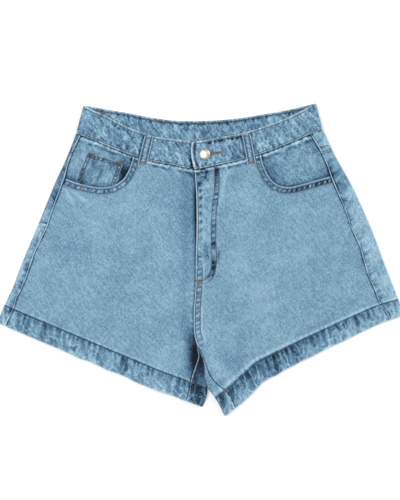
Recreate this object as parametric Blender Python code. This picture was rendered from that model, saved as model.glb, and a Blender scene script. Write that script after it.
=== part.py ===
"""Denim shorts laid out flat, front up: the cloth pieces, belt loops and button.

+X runs to the wearer's left, +Y to the waist, +Z up. Sizes are in millimetres
up to the point where a mesh is made.
"""

from math import cos, pi, radians, sin

import bmesh
import bpy
import numpy as np

MM = 0.001
SIDES = ("right", "left")

# Cloth and build-up.
CLOTH = 1.6          # panel wall
HEM_WALL = 2.8       # turned hem, three layers
BAND_WALL = 3.0      # waistband, folded double with its seam allowances
FACING_WALL = 1.3
COIN_WALL = 1.2
LOOP_WALL = 1.5
SEAM = 0.4           # gap between two pieces that meet edge to edge
LIE = 0.35           # gap between a piece and the one that it lies on
FOLD_RADIUS = 3.8    # side and inner-leg folds
BAND_RADIUS = 4.2    # side folds of the waistband
CROWN = 6.8          # height of the front's cloth away from the folds
BAND_CROWN = 8.2
SETTLE = 22.0        # how fast a fold's shoulder comes down to the crown
WAIST_SWELL = 0.8    # extra height under the waistband
HEM_SWELL = 0.5      # the hem stands this much above its panel
LIFT = 1.8           # the back belt loops hold the waist up by this
EDGE_BLEND = 0.6     # how near a fold its own direction is used

# Shares of a leg's length, waist seam 0 and hem edge 1.
CROTCH = 0.80
HEM = 0.93
HEM_STEP = 0.005     # the wall thickens to the hem over this share
YOKE_SIDE = 0.092
YOKE_CENTRE = 0.16
YOKE_SLOPE_FROM = 0.25   # across the back's columns, where the yoke seam starts down
YOKE_SLOPE_SPAN = 0.60
YOKE_HALF_GAP = 0.0006
SWELL_END = 0.10     # the waist's swell is gone here
LIFT_FULL = 0.05
LIFT_END = 0.16
CENTRE_X = -9.0      # centre front and centre back at the waist

# Side fold of each half. share: place between waist seam and hem. x, y: the fold.
# seam: how far inside the fold the side seam lies, on top. droop: how far the middle
# of that course lies above the straight line to the inner leg.
COURSE_COLUMNS = ("share", "x", "y", "seam", "droop")
COURSES = {
    "right": (
        (0.00, -186.8, 189.1, 7.8, 0.0),
        (0.10, -198.2, 159.8, 5.6, 0.0),
        (0.25, -219.0, 113.2, 11.6, 0.0),
        (0.40, -236.2, 71.2, 13.7, 0.0),
        (0.55, -253.5, 29.2, 12.8, 0.0),
        (0.68, -269.1, -8.2, 13.4, 0.0),
        (0.80, -281.4, -41.2, 12.9, 0.0),
        (0.93, -293.5, -67.7, 13.7, -2.5),
        (1.00, -304.6, -94.8, 12.6, -3.2),
    ),
    "left": (
        (0.00, 182.7, 195.8, 19.0, 0.0),
        (0.10, 198.8, 161.2, 16.6, 0.0),
        (0.25, 224.7, 114.8, 24.0, 0.0),
        (0.40, 243.8, 74.2, 26.3, 0.0),
        (0.55, 259.2, 37.5, 26.2, 0.5),
        (0.68, 273.0, 0.8, 27.9, 3.0),
        (0.80, 283.3, -26.2, 29.3, 8.0),
        (0.93, 295.7, -59.0, 29.4, 20.0),
        (1.00, 304.6, -83.5, 22.5, 19.5),
    ),
}

# Rise seam at centre front, waist seam to crotch, shared by both halves.
RISE_COLUMNS = ("share", "x", "y")
RISE = (
    (0.00, -9.0, 135.3),
    (0.10, -7.0, 104.2),
    (0.25, -6.0, 56.2),
    (0.40, -7.0, 3.8),
    (0.55, -8.0, -45.8),
    (0.68, -10.4, -87.8),
    (0.75, -9.5, -113.0),
    (0.80, -4.6, -131.5),
)

# Inner-leg fold of each leg, crotch to hem. inseam: how far inside the fold the
# inseam lies, on top.
LEG_COLUMNS = ("share", "x", "y", "inseam")
LEGS = {
    "right": (
        (0.80, -4.6, -131.5, 0.7),
        (0.83, 0.0, -145.2, 5.0),
        (0.86, 3.7, -159.0, 12.0),
        (0.89, 4.6, -176.0, 19.0),
        (0.93, 8.4, -192.5, 27.0),
        (0.965, 7.6, -207.5, 27.0),
        (1.00, 2.3, -221.5, 26.0),
    ),
    "left": (
        (0.80, -4.6, -131.5, 0.7),
        (0.83, 1.5, -145.2, 1.2),
        (0.86, 5.3, -159.0, 3.0),
        (0.89, 6.3, -177.8, 8.0),
        (0.91, 10.6, -192.8, 12.5),
        (0.93, 21.0, -206.7, 16.2),
        (1.00, 37.2, -235.5, 17.7),
    ),
}

# Share of the left hem's droop across the leg, from the side fold.
DROOP_COLUMNS = ("across", "droop")
DROOP = (
    (0.00, 0.00),
    (0.10, 0.33),
    (0.25, 0.56),
    (0.40, 0.72),
    (0.55, 0.86),
    (0.70, 0.97),
    (0.78, 0.98),
    (0.86, 0.55),
    (0.92, 0.28),
    (1.00, 0.00),
)

# Edges of the waistband, from the side fold (across 0) to the centre (across 1).
WAIST_COLUMNS = ("across", "front_seam", "front_edge", "back_edge", "back_seam")
WAIST = {
    "right": (
        (0.00, 189.1, 230.4, 231.8, 189.1),
        (0.20, 174.9, 215.2, 225.6, 184.5),
        (0.40, 160.6, 198.5, 219.8, 179.2),
        (0.60, 149.2, 186.0, 213.3, 173.5),
        (0.80, 142.0, 180.6, 208.6, 169.4),
        (1.00, 136.4, 177.5, 207.8, 168.0),
        (1.23, 144.6, 180.1, 208.0, 168.0),
    ),
    "left": (
        (0.00, 195.8, 233.9, 234.8, 195.8),
        (0.20, 179.1, 215.1, 225.5, 186.8),
        (0.40, 163.5, 200.9, 218.9, 179.9),
        (0.60, 151.4, 189.5, 212.9, 173.9),
        (0.80, 142.2, 182.5, 209.0, 169.4),
        (1.00, 134.9, 176.5, 207.8, 168.0),
        (1.05, 133.9, 175.9, 207.8, 168.0),
    ),
}
# How far down the waist's curve bends the courses, and how fast it fades.
WAIST_BEND = {1: (0.22, 2.0), -1: (CROTCH, 1.3)}
BAND_FOLD = {
    "right": ((-186.8, 189.1), (-175.5, 231.1)),
    "left": ((182.7, 195.8), (172.5, 234.4)),
}
BAND_FOLD_REACH = 0.08   # of the half band's length, where its top edge turns to the fold
UNDERLAP_REACH = 0.23    # of the half band's length, past the centre
# How far the tab's edge lies past the centre, from the waist seam to the top edge.
TAB_EDGE = (0.3, 3.0, 5.0, 5.6, 4.4)
TAB_RAISE = 3.35
TAB_FULL_X = 33.0
TAB_END_X = 57.0

# Pocket mouths, waist seam to side seam, as x and y.
MOUTHS = {
    "right": (
        (-99.5, 172.0),
        (-101.7, 152.0),
        (-107.0, 135.8),
        (-116.5, 120.3),
        (-128.6, 111.8),
        (-143.9, 108.3),
        (-166.8, 110.5),
        (-186.0, 115.2),
        (-202.2, 121.4),
        (-226.0, 131.0),
    ),
    "left": (
        (88.5, 176.0),
        (91.0, 154.8),
        (93.9, 143.2),
        (98.9, 131.5),
        (108.3, 117.5),
        (120.5, 110.2),
        (133.2, 108.8),
        (152.2, 112.9),
        (171.5, 118.4),
        (202.0, 126.6),
        (226.0, 133.0),
    ),
}
POCKET_DROP = {"right": 3.5, "left": 2.0}    # of the facing, inside the mouth
POCKET_REST = 0.2        # of the facing, well under the panel
POCKET_EDGE = 3.0
POCKET_SPREAD = 40.0
CUTTER_HIGH = 30.0
CUTTER_LOW = -5.0
CUTTER_TOP_Y = 215.0
POCKET_SWELL = 1.0
POCKET_AT = {"right": (-148.0, 122.0), "left": (140.0, 122.0)}
POCKET_SIZE = (62.0, 42.0)
FACING_ACROSS = 0.545
FACING_CURVE = 0.2
FACING_SHARE = 0.265

# Coin pocket corners: top outer, top inner, bottom outer, bottom inner.
COIN_CORNERS = ((-168.8, 161.1), (-116.2, 143.7), (-189.6, 113.6), (-128.9, 106.6))

# Fly. The raise holds the facing and the edge of the right front below the left one.
FLY_LIE = 0.40
FLY_RAISE = 3.6
FLY_FULL_X = 28.0
FLY_END_X = 56.0
FLY_FULL_Y = -20.0
FLY_END_Y = -56.0
FLY_FACING_EDGE = 1.2
FLY_FACING_WIDTH = 30.5
FLY_FACING_TOP = 0.006
FLY_FACING_SHARE = 0.452
FLY_CURVE_FROM = 0.38
FLY_CURVE = 0.75
LAP = 13.0
LAP_FULL_SHARE = 0.41
LAP_END_SHARE = 0.46
RISE_RIDGE = 0.9
RISE_RIDGE_WIDTH = 10.0
SIDE_RIDGE = 0.6
SIDE_RIDGE_WIDTH = 4.0
SIDE_RIDGE_FROM = 4.0    # no ridge where the seam lies this near the fold
SIDE_RIDGE_SPAN = 6.0

# The front's largest soft folds: x, y, angle from +X in degrees, length, width, height.
CREASES = (
    (-11.0, -142.0, 100.0, 42.0, 9.0, -1.3),
    (30.0, -168.0, -38.0, 34.0, 9.0, 1.1),
    (44.0, -152.0, -42.0, 38.0, 10.0, -0.8),
    (-52.0, -60.0, 14.0, 60.0, 15.0, 0.7),
    (100.0, -20.0, 68.0, 85.0, 24.0, 0.8),
    (-150.0, 5.0, 60.0, 90.0, 26.0, 0.7),
    (-60.0, -150.0, 60.0, 40.0, 16.0, 0.8),
    (78.0, -196.0, 60.0, 26.0, 12.0, 1.4),
    (190.0, -62.0, 62.0, 40.0, 18.0, 0.7),
)

# Belt loops: middle of the top and bottom ends, and width.
FRONT_LOOPS = {
    "right": ((-77.0, 184.4), (-87.0, 142.8), 14.0),
    "left": ((68.4, 187.2), (76.8, 143.0), 12.6),
}
LOOP_ROWS = (0.0, 0.06, 0.20, 0.35, 0.50, 0.64, 0.73, 0.79, 0.85, 0.92, 1.0)
LOOP_SLANT = 0.08
LOOP_LIE = 0.45
LOOP_GAPE = 1.3
LOOP_GAPE_SPAN = 0.8
LOOP_STEP_FROM = 1.2     # the loop steps off the band this far below its seam
LOOP_STEP_SPAN = 4.0
BACK_LOOP_WIDTH = 13.0
BACK_LOOP_INSET = 0.5    # below the band's top edge
BACK_LOOP_TAIL = 10.0    # below the band's seam
BACK_LOOPS = {"right": ("right", -144.0), "centre": ("right", -1.0), "left": ("left", 143.0)}

# Shank button.
BUTTON_XY = (6.5, 157.4)
BUTTON_RADIUS = 8.5
BUTTON_RIM = 1.3
BUTTON_DOME = 3.2
BUTTON_BEVEL = (0.7, 0.6)
SHANK_RADIUS = 4.0
SHANK_CLEARANCE = 0.3    # over the underlap
CAP_CLEARANCE = 0.45     # over the tab
BUTTONHOLE_RADIUS = 4.4
ROUND_STEPS = 24

# Courses of the grids, and their columns across a panel.
LOWER_SHARES = (
    0.25, 0.32, 0.39, 0.44, 0.48, 0.53, 0.58, 0.64, 0.70, 0.76, 0.785, 0.797, 0.803,
    0.82, 0.84, 0.86, 0.88, 0.905, 0.9275, 0.9345, 0.965, 1.0,
)
FRONT_SHARES = (0.0, 0.031, 0.062, 0.0917, 0.1276, 0.1626, 0.2063, *LOWER_SHARES)
FRONT_COLUMNS = (
    0.0, 0.06, 0.13, 0.20, 0.27, 0.34, 0.41, 0.48, 0.55, 0.62, 0.69, 0.745, 0.79,
    0.83, 0.87, 0.91, 0.945, 0.975, 1.0,
)
BACK_SHARES = (0.16, 0.18, 0.20, 0.225, *LOWER_SHARES)
BACK_BLEND = 0.25        # the courses follow the yoke seam above this share
YOKE_ROWS = (0.0, 0.34, 0.67, 1.0)
# Columns of the back panel: on the side's top, round a fold, along the underside, and
# at its inner end, where there is one distance for centre back and one for the leg.
BACK_COLUMNS = 30
SIDE_STEPS = (0.0, 0.30, 0.45)
TURN_ANGLES = (0, 30, 60, 90)
UNDER_STEPS = 12
UNDER_END = 11.0
CENTRE_TURN = (7.5, 5.0, 3.5, 2.5)
INNER = (   # share of the way from the fold to the inseam, distance from centre back
    (0.03, 1.8),
    (0.10, 1.3),
    (0.24, 0.8),
    (0.55, 0.4),
    (1.00, 0.0),
)
BAND_ROWS = 5
BAND_UNDER_STEPS = 9
BAND_FRONT_STEPS = 18

COLOURS = {
    "panel": (0.235, 0.395, 0.560),
    "yoke": (0.205, 0.360, 0.525),
    "band": (0.215, 0.375, 0.540),
    "facing": (0.185, 0.335, 0.500),
    "loop": (0.255, 0.420, 0.585),
    "metal": (0.780, 0.770, 0.740),
}


def column(table, columns, name):
    return np.array([row[columns.index(name)] for row in table])


def along(knots, values, at):
    """A smooth curve through a table's values, read at any place."""
    slopes = np.gradient(values, knots)
    at = np.asarray(at, float)
    i = np.clip(np.searchsorted(knots, at, side="right") - 1, 0, len(knots) - 2)
    step = knots[i + 1] - knots[i]
    s = (at - knots[i]) / step
    start = values[i] * (1 + 2 * s) * (1 - s) ** 2 + slopes[i] * step * s * (1 - s) ** 2
    end = values[i + 1] * s * s * (3 - 2 * s) + slopes[i + 1] * step * s * s * (s - 1)
    return start + end


def read(table, columns, name, at):
    return along(column(table, columns, columns[0]), column(table, columns, name), at)


def smooth(x):
    x = np.clip(x, 0.0, 1.0)
    return x * x * (3 - 2 * x)


def mix(a, b, share):
    return a + (b - a) * share


# Plan of the courses.


def outer_fold(side, share):
    rows = COURSES[side]
    return np.stack(
        [read(rows, COURSE_COLUMNS, "x", share), read(rows, COURSE_COLUMNS, "y", share)], -1
    )


def inner_end(side, share):
    """Rise seam above the crotch, inner-leg fold below it."""
    share = np.asarray(share, float)
    above = np.minimum(share, CROTCH)
    below = np.maximum(share, CROTCH)
    rise = [read(RISE, RISE_COLUMNS, c, above) for c in "xy"]
    leg = [read(LEGS[side], LEG_COLUMNS, c, below) for c in "xy"]
    toward_side = -SEAM / 2 if side == "right" else SEAM / 2
    points = [np.where(share > CROTCH, leg[k], rise[k]) for k in (0, 1)]
    return np.stack([points[0] + toward_side, points[1]], -1)


def waist_y(side, edge, across):
    return read(WAIST[side], WAIST_COLUMNS, edge, across)


def course(side, across, share, face):
    """Plan point on a course, from the side fold (across 0) to the inner end (1)."""
    outer, inner = outer_fold(side, share), inner_end(side, share)
    point = mix(outer, inner, across[..., None])
    droop = read(COURSES[side], COURSE_COLUMNS, "droop", share)
    shape = read(DROOP, DROOP_COLUMNS, "droop", np.clip(across, 0, 1))
    first_out, first_in = outer_fold(side, 0.0), inner_end(side, 0.0)
    straight = mix(first_out[1], first_in[1], across)
    edge = "front_seam" if face > 0 else "back_seam"
    bend = waist_y(side, edge, across) - SEAM / 2 - straight
    reach, power = WAIST_BEND[face]
    point[..., 1] += droop * shape
    point[..., 1] += bend * np.clip(1 - share / reach, 0, 1) ** power
    return point


def course_length(side, share):
    return np.linalg.norm(inner_end(side, share) - outer_fold(side, share), axis=-1)


def across_of(side, share, distance, from_inner=False):
    """The share across a course that lies this far from its end."""
    length = course_length(side, share)
    return 1 - distance / length if from_inner else distance / length


# Height of the cloth.


def longer(line, at_start, by=12):
    """A line made longer by a number of its end steps."""
    if at_start:
        line = np.vstack([line[0] + (line[0] - line[1]) * by, line])
    return np.vstack([line, line[-1] + (line[-1] - line[-2]) * by])


def fold_lines(side):
    """The side and inner-leg folds in plan, each with the sign of its outer side."""
    turn = 1.0 if side == "right" else -1.0
    outer = longer(outer_fold(side, np.linspace(0, 1, 50)), True)
    inner = longer(inner_end(side, np.linspace(CROTCH + 1e-4, 1, 40)), False)
    return [(outer, turn), (inner, -turn)]


def nearest(line, sign, points):
    """Distance to a line, the direction to it, and its outward normal there."""
    start, step = line[:-1], line[1:] - line[:-1]
    rel = points[:, None, :] - start[None]
    share = (rel * step).sum(-1) / (step**2).sum(-1)
    share = np.clip(share, 0, 1)
    gap = rel - share[..., None] * step
    far = np.linalg.norm(gap, axis=-1)
    best = far.argmin(1)
    rows = np.arange(len(points))
    unit = step[best] / np.linalg.norm(step[best], axis=1)[:, None]
    normal = np.stack([unit[:, 1], -unit[:, 0]], 1) * sign
    toward = -gap[rows, best]
    return far[rows, best], toward, normal


def fold_frame(lines, points):
    """Distance from the nearest fold, and the level direction that faces outward."""
    flat = points.reshape(-1, 2)
    found = [nearest(line, sign, flat) for line, sign in lines]
    which = np.argmin([far for far, _, _ in found], axis=0)
    rows = np.arange(len(flat))
    far = np.array([f for f, _, _ in found])[which, rows]
    toward = np.array([t for _, t, _ in found])[which, rows]
    normal = np.array([n for _, _, n in found])[which, rows]
    close = np.clip(far / EDGE_BLEND, 0, 1)[:, None]
    out = toward / np.maximum(far, 1e-9)[:, None] * close + normal * (1 - close)
    beyond = (out * normal).sum(1) < -0.7
    out[beyond] = normal[beyond]
    far[beyond] = 0.0
    out /= np.linalg.norm(out, axis=1)[:, None]
    return far.reshape(points.shape[:-1]), out.reshape(points.shape)


def rounded(lines, points, face, radius, crown):
    """Height and outward normal of cloth that is folded round at its lines."""
    far, out = fold_frame(lines, points)
    level = np.clip(1 - far / radius, 0, 1)
    upright = np.sqrt(1 - level**2)
    height = radius * (1 + face * upright)
    if face > 0:
        settled = 1 - np.exp(-((np.maximum(far - radius, 0) / SETTLE) ** 2))
        height -= (2 * radius - crown) * settled
    normal = np.concatenate([out * level[..., None], (face * upright)[..., None]], -1)
    return height, normal, smooth(far / (2 * radius))


def lift(share):
    return LIFT * (1 - smooth((share - LIFT_FULL) / (LIFT_END - LIFT_FULL)))


def crease_height(points):
    total = np.zeros(points.shape[:-1])
    for x, y, angle, length, width, height in CREASES:
        rel = points - (x, y)
        turn = radians(angle)
        run = rel[..., 0] * cos(turn) + rel[..., 1] * sin(turn)
        off = rel[..., 1] * cos(turn) - rel[..., 0] * sin(turn)
        total += height * np.exp(-((run / length) ** 2) - (off / width) ** 2)
    return total


def pocket_height(side, points):
    rel = (points - POCKET_AT[side]) / POCKET_SIZE
    return POCKET_SWELL * np.exp(-(rel**2).sum(-1))


def fly_height(points):
    across = 1 - smooth((points[..., 0] - FLY_FULL_X) / (FLY_END_X - FLY_FULL_X))
    down = 1 - smooth((FLY_FULL_Y - points[..., 1]) / (FLY_FULL_Y - FLY_END_Y))
    return FLY_RAISE * across * down


def hem_step(share):
    """0 on the panel and 1 on the hem."""
    return smooth((share - HEM) / HEM_STEP + 0.5)


def cloth(side, across, share, face):
    """Points and normals of the outer face of one half, front or underside."""
    share = np.broadcast_to(share, across.shape)
    plan = course(side, across, share, face)
    height, normal, clear = rounded(FOLDS[side], plan, face, FOLD_RADIUS, CROWN)
    height = height + lift(share)
    if face > 0:
        extra = WAIST_SWELL * (1 - smooth(share / SWELL_END))
        extra = extra + HEM_SWELL * hem_step(share)
        extra = extra + crease_height(plan) + pocket_height(side, plan)
        height = height + extra * clear
    return np.concatenate([plan, height[..., None]], -1), normal


def wall_thickness(share):
    return mix(CLOTH, HEM_WALL, hem_step(share))


# Meshes.


def material(name, colour, roughness=0.85, metallic=0.0):
    made = bpy.data.materials.new(name)
    made.use_nodes = True
    shader = made.node_tree.nodes["Principled BSDF"]
    shader.inputs["Base Color"].default_value = (*colour, 1.0)
    shader.inputs["Roughness"].default_value = roughness
    shader.inputs["Metallic"].default_value = metallic
    return made


def add_mesh(name, points, faces, colour, **finish):
    mesh = bpy.data.meshes.new(name)
    mesh.from_pydata((np.asarray(points) * MM).tolist(), [], faces)
    shape = bmesh.new()
    shape.from_mesh(mesh)
    bmesh.ops.recalc_face_normals(shape, faces=shape.faces)
    shape.to_mesh(mesh)
    shape.free()
    piece = bpy.data.objects.new(name, mesh)
    bpy.context.scene.collection.objects.link(piece)
    mesh.materials.append(material(name, colour, **finish))
    return piece


def add_wall(name, outer, inner, colour):
    """A closed piece of cloth between two grids of points."""
    rows, columns = outer.shape[:2]
    count = rows * columns
    index = np.arange(count).reshape(rows, columns)
    corners = (index[:-1, :-1], index[:-1, 1:], index[1:, 1:], index[1:, :-1])
    quads = np.stack([c.ravel() for c in corners], 1)
    rim = np.concatenate(
        [index[0, :-1], index[:-1, -1], index[-1, :0:-1], index[:0:-1, 0]]
    )
    after = np.roll(rim, -1)
    sides = np.stack([after, rim, rim + count, after + count], 1)
    faces = np.concatenate([quads, quads[:, ::-1] + count, sides])
    points = np.concatenate([outer.reshape(-1, 3), inner.reshape(-1, 3)])
    return add_mesh(name, points, faces.tolist(), colour)


def raised(points, height):
    """A copy of a grid of points, moved up."""
    moved = points.copy()
    moved[..., 2] += height
    return moved


def add_cutter(name, outline, low, high):
    """A prism that cuts along an outline in plan."""
    count = len(outline)
    points = [(x, y, low) for x, y in outline] + [(x, y, high) for x, y in outline]
    faces = [tuple(range(count - 1, -1, -1)), tuple(range(count, 2 * count))]
    faces += [(i, (i + 1) % count, (i + 1) % count + count, i + count) for i in range(count)]
    cutter = add_mesh(name, points, faces, COLOURS["panel"])
    cutter.hide_render = True
    cutter.display_type = "WIRE"
    return cutter


def cut(piece, cutter):
    step = piece.modifiers.new("cut", "BOOLEAN")
    step.operation = "DIFFERENCE"
    step.solver = "EXACT"
    step.object = cutter


# Legs.


def mouth_line(side, count=34):
    rows = np.array(MOUTHS[side])
    run = np.concatenate([[0], np.cumsum(np.linalg.norm(np.diff(rows, axis=0), axis=1))])
    at = np.linspace(0, run[-1], count)
    return np.stack([along(run, rows[:, k], at) for k in (0, 1)], -1)


def front_panel(side):
    share = np.array(FRONT_SHARES)[:, None]
    columns = np.array(FRONT_COLUMNS)[None]
    seam = read(COURSES[side], COURSE_COLUMNS, "seam", share) + SEAM / 2
    start = across_of(side, share, seam)
    inseam = read(LEGS[side], LEG_COLUMNS, "inseam", np.maximum(share, CROTCH)) + SEAM / 2
    end = np.where(share < CROTCH, 1.0, across_of(side, share, inseam, from_inner=True))
    if side == "right":
        lap = LAP * (1 - smooth((share - LAP_FULL_SHARE) / (LAP_END_SHARE - LAP_FULL_SHARE)))
        end = end - 1 + across_of(side, share, -lap, from_inner=True)
    across = mix(start, end, columns)
    points, normals = cloth(side, across, share, 1)
    if side == "left":
        seam_x = inner_end(side, share)[..., 0]
        ridge = np.clip(1 - np.abs(points[..., 0] - seam_x) / RISE_RIDGE_WIDTH, 0, 1)
        ridge = RISE_RIDGE * smooth(ridge * 2) * (share < CROTCH)
        points[..., 2] += np.maximum(fly_height(points[..., :2]), ridge)
    inner = points - normals * wall_thickness(np.broadcast_to(share, across.shape))[..., None]
    piece = add_wall(f"front_panel_{side}", points, inner, COLOURS["panel"])
    mouth = mouth_line(side)
    outline = [tuple(p) for p in mouth]
    outline += [(mouth[-1, 0], CUTTER_TOP_Y), (mouth[0, 0], CUTTER_TOP_Y)]
    cut(piece, add_cutter(f"pocket_mouth_cutter_{side}", outline, CUTTER_LOW, CUTTER_HIGH))
    return piece


def back_path(side, share):
    """Where each column of a back course lies: across the half, and on which face.

    share holds the course at each column. The columns run from the side seam on top,
    round the side fold, below, and round the inner leg to the inseam. Above the crotch
    they end at centre back.
    """
    seam = read(COURSES[side], COURSE_COLUMNS, "seam", share) - SEAM / 2
    inseam = read(LEGS[side], LEG_COLUMNS, "inseam", np.maximum(share, CROTCH)) - SEAM / 2
    turn = [FOLD_RADIUS * (1 - cos(radians(a))) + 0 * share for a in TURN_ANGLES]
    on_leg = share > CROTCH
    parts = [(across_of(side, share, mix(seam, FOLD_RADIUS, k)), 1) for k in SIDE_STEPS]
    parts += [(across_of(side, share, turn[k]), 1) for k in (3, 2, 1)]
    parts += [(across_of(side, share, turn[k]), -1) for k in (0, 1, 2)]
    first = across_of(side, share, turn[3])
    last = across_of(side, share, UNDER_END, from_inner=True)
    parts += [(mix(first, last, k), -1) for k in np.linspace(0, 1, UNDER_STEPS)]
    for leg, centre in zip(turn[::-1], CENTRE_TURN):
        distance = np.where(on_leg, leg, centre)
        parts.append((across_of(side, share, distance, from_inner=True), -1))
    for leg, centre in INNER:
        distance = np.where(on_leg, leg * inseam, centre)
        face = np.where(on_leg, 1, -1)
        parts.append((across_of(side, share, distance, from_inner=True), face))
    place = np.array([value[k] for k, (value, _) in enumerate(parts)])
    face = np.array([np.broadcast_to(on, share.shape)[k] for k, (_, on) in enumerate(parts)])
    return place, face


def back_grid(side, share_of, rows):
    """Outer points, normals and shares of the back of one half, row by row."""
    points, normals, shares = [], [], []
    for row in rows:
        share = share_of(row, np.linspace(0, 1, BACK_COLUMNS))
        place, face = back_path(side, share)
        upper, upper_normal = cloth(side, place, share, 1)
        lower, lower_normal = cloth(side, place, share, -1)
        upper[:, 2] += seam_ridge(side, place, share)
        on_top = (face > 0)[:, None]
        points.append(np.where(on_top, upper, lower))
        normals.append(np.where(on_top, upper_normal, lower_normal))
        shares.append(share)
    return np.array(points), np.array(normals), np.array(shares)


def seam_ridge(side, across, share):
    """The felled side seam stands up along its edge."""
    seam = read(COURSES[side], COURSE_COLUMNS, "seam", share)
    away = np.abs(seam - across * course_length(side, share))
    along_fold = smooth((seam - SIDE_RIDGE_FROM) / SIDE_RIDGE_SPAN)
    return SIDE_RIDGE * (1 - smooth(away / SIDE_RIDGE_WIDTH)) * along_fold


def yoke_seam(column_share):
    down = smooth((column_share - YOKE_SLOPE_FROM) / YOKE_SLOPE_SPAN)
    return mix(YOKE_SIDE, YOKE_CENTRE, down)


def back_panel(side):
    def share_of(row, columns):
        seam = yoke_seam(columns) + YOKE_HALF_GAP
        blend = (row - YOKE_CENTRE) / (BACK_BLEND - YOKE_CENTRE)
        top = mix(seam, BACK_BLEND, np.clip(blend, 0, 1))
        return np.where(row < BACK_BLEND, top, row)

    points, normals, shares = back_grid(side, share_of, BACK_SHARES)
    inner = points - normals * wall_thickness(shares)[..., None]
    return add_wall(f"back_panel_{side}", points, inner, COLOURS["panel"])


def back_yoke(side):
    def share_of(row, columns):
        return row * (yoke_seam(columns) - YOKE_HALF_GAP)

    points, normals, _ = back_grid(side, share_of, YOKE_ROWS)
    inner = points - normals * CLOTH
    return add_wall(f"back_yoke_{side}", points, inner, COLOURS["yoke"])


# Pockets and fly.


def pocket_drop(side, points):
    """How far the facing lies below the panel's face, least away from the mouth."""
    mouth = mouth_line(side, 60)
    sign = 1.0 if side == "right" else -1.0
    far, toward, normal = nearest(mouth, sign, points.reshape(-1, 2))
    outside = (toward * normal).sum(1) < 0
    far = np.where(outside, far, 0.0).reshape(points.shape[:-1])
    spread = 1 - smooth((far - POCKET_EDGE) / POCKET_SPREAD)
    return mix(POCKET_REST, POCKET_DROP[side], spread)


def pocket_facing(side):
    share = np.linspace(0.0, FACING_SHARE, 15)[:, None]
    seam = read(COURSES[side], COURSE_COLUMNS, "seam", share) + SEAM / 2
    start = across_of(side, share, seam)
    end = FACING_ACROSS - FACING_CURVE * (share / FACING_SHARE) ** 3
    across = mix(start, end, np.linspace(0, 1, 15)[None])
    points, normals = cloth(side, across, share, 1)
    points[..., 2] -= pocket_drop(side, points[..., :2])
    return add_wall(
        f"pocket_facing_{side}", points, points - normals * FACING_WALL, COLOURS["facing"]
    )


def turned(a, b):
    """The signed area between two directions in plan."""
    return a[..., 0] * b[..., 1] - a[..., 1] * b[..., 0]


def share_at(side, points, step=0.01, rounds=25):
    """Where a plan point on the front lies across and down its half, by stepping to it."""
    share = np.full(points.shape[:-1], 0.1)
    across = np.full(points.shape[:-1], 0.3)
    for _ in range(rounds):
        here = course(side, across, share, 1)
        miss = points - here
        ahead = course(side, across + step, share, 1) - here
        down = course(side, across, share + step, 1) - here
        across = across + step * turned(miss, down) / turned(ahead, down)
        share = share + step * turned(ahead, miss) / turned(ahead, down)
    return across, share


def coin_pocket():
    top_out, top_in, low_out, low_in = (np.array(c) for c in COIN_CORNERS)
    u = np.linspace(0, 1, 11)[None, :, None]
    v = np.linspace(0, 1, 9)[:, None, None]
    plan = mix(mix(top_out, top_in, u), mix(low_out, low_in, u), v)
    across, share = share_at("right", plan)
    points, _ = cloth("right", across, share, 1)
    points[..., 2] -= pocket_drop("right", points[..., :2])
    return add_wall(
        "coin_pocket",
        raised(points, LIE + COIN_WALL),
        raised(points, LIE),
        COLOURS["facing"],
    )


def fly_facing():
    share = np.linspace(FLY_FACING_TOP, FLY_FACING_SHARE, 14)[:, None]
    curve = (share - FLY_CURVE_FROM) / (FLY_FACING_SHARE - FLY_CURVE_FROM)
    rounding = 1 - FLY_CURVE * np.clip(curve, 0, 1) ** 3
    columns = np.linspace(0, 1, 5)[None]
    distance = mix(FLY_FACING_EDGE, FLY_FACING_WIDTH * rounding, columns)
    across = across_of("left", share, distance, from_inner=True)
    points, _ = cloth("left", across, share, 1)
    return add_wall(
        "fly_facing",
        raised(points, FLY_LIE + FACING_WALL),
        raised(points, FLY_LIE),
        COLOURS["facing"],
    )


# Waistband.


def band_points(side, across, up, face):
    """Outer face of the waistband: across from the side fold, up from its seam."""
    (low_x, low_y), (high_x, high_y) = BAND_FOLD[side]
    seam, edge = ("front_seam", "front_edge") if face > 0 else ("back_seam", "back_edge")
    low = np.stack([mix(low_x, CENTRE_X, across), waist_y(side, seam, across) + SEAM / 2], -1)
    high = np.stack([mix(high_x, CENTRE_X, across), waist_y(side, edge, across)], -1)
    on_fold = np.exp(-((across / BAND_FOLD_REACH) ** 2))
    high[..., 1] += on_fold * (high_y - waist_y(side, edge, 0.0))
    plan = mix(low, high, up[..., None])
    height, normal, _ = rounded(BAND_LINES[side], plan, face, BAND_RADIUS, BAND_CROWN)
    return np.concatenate([plan, (height + LIFT)[..., None]], -1), normal


def tab_height(points):
    return TAB_RAISE * (1 - smooth((points[..., 0] - TAB_FULL_X) / (TAB_END_X - TAB_FULL_X)))


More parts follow.
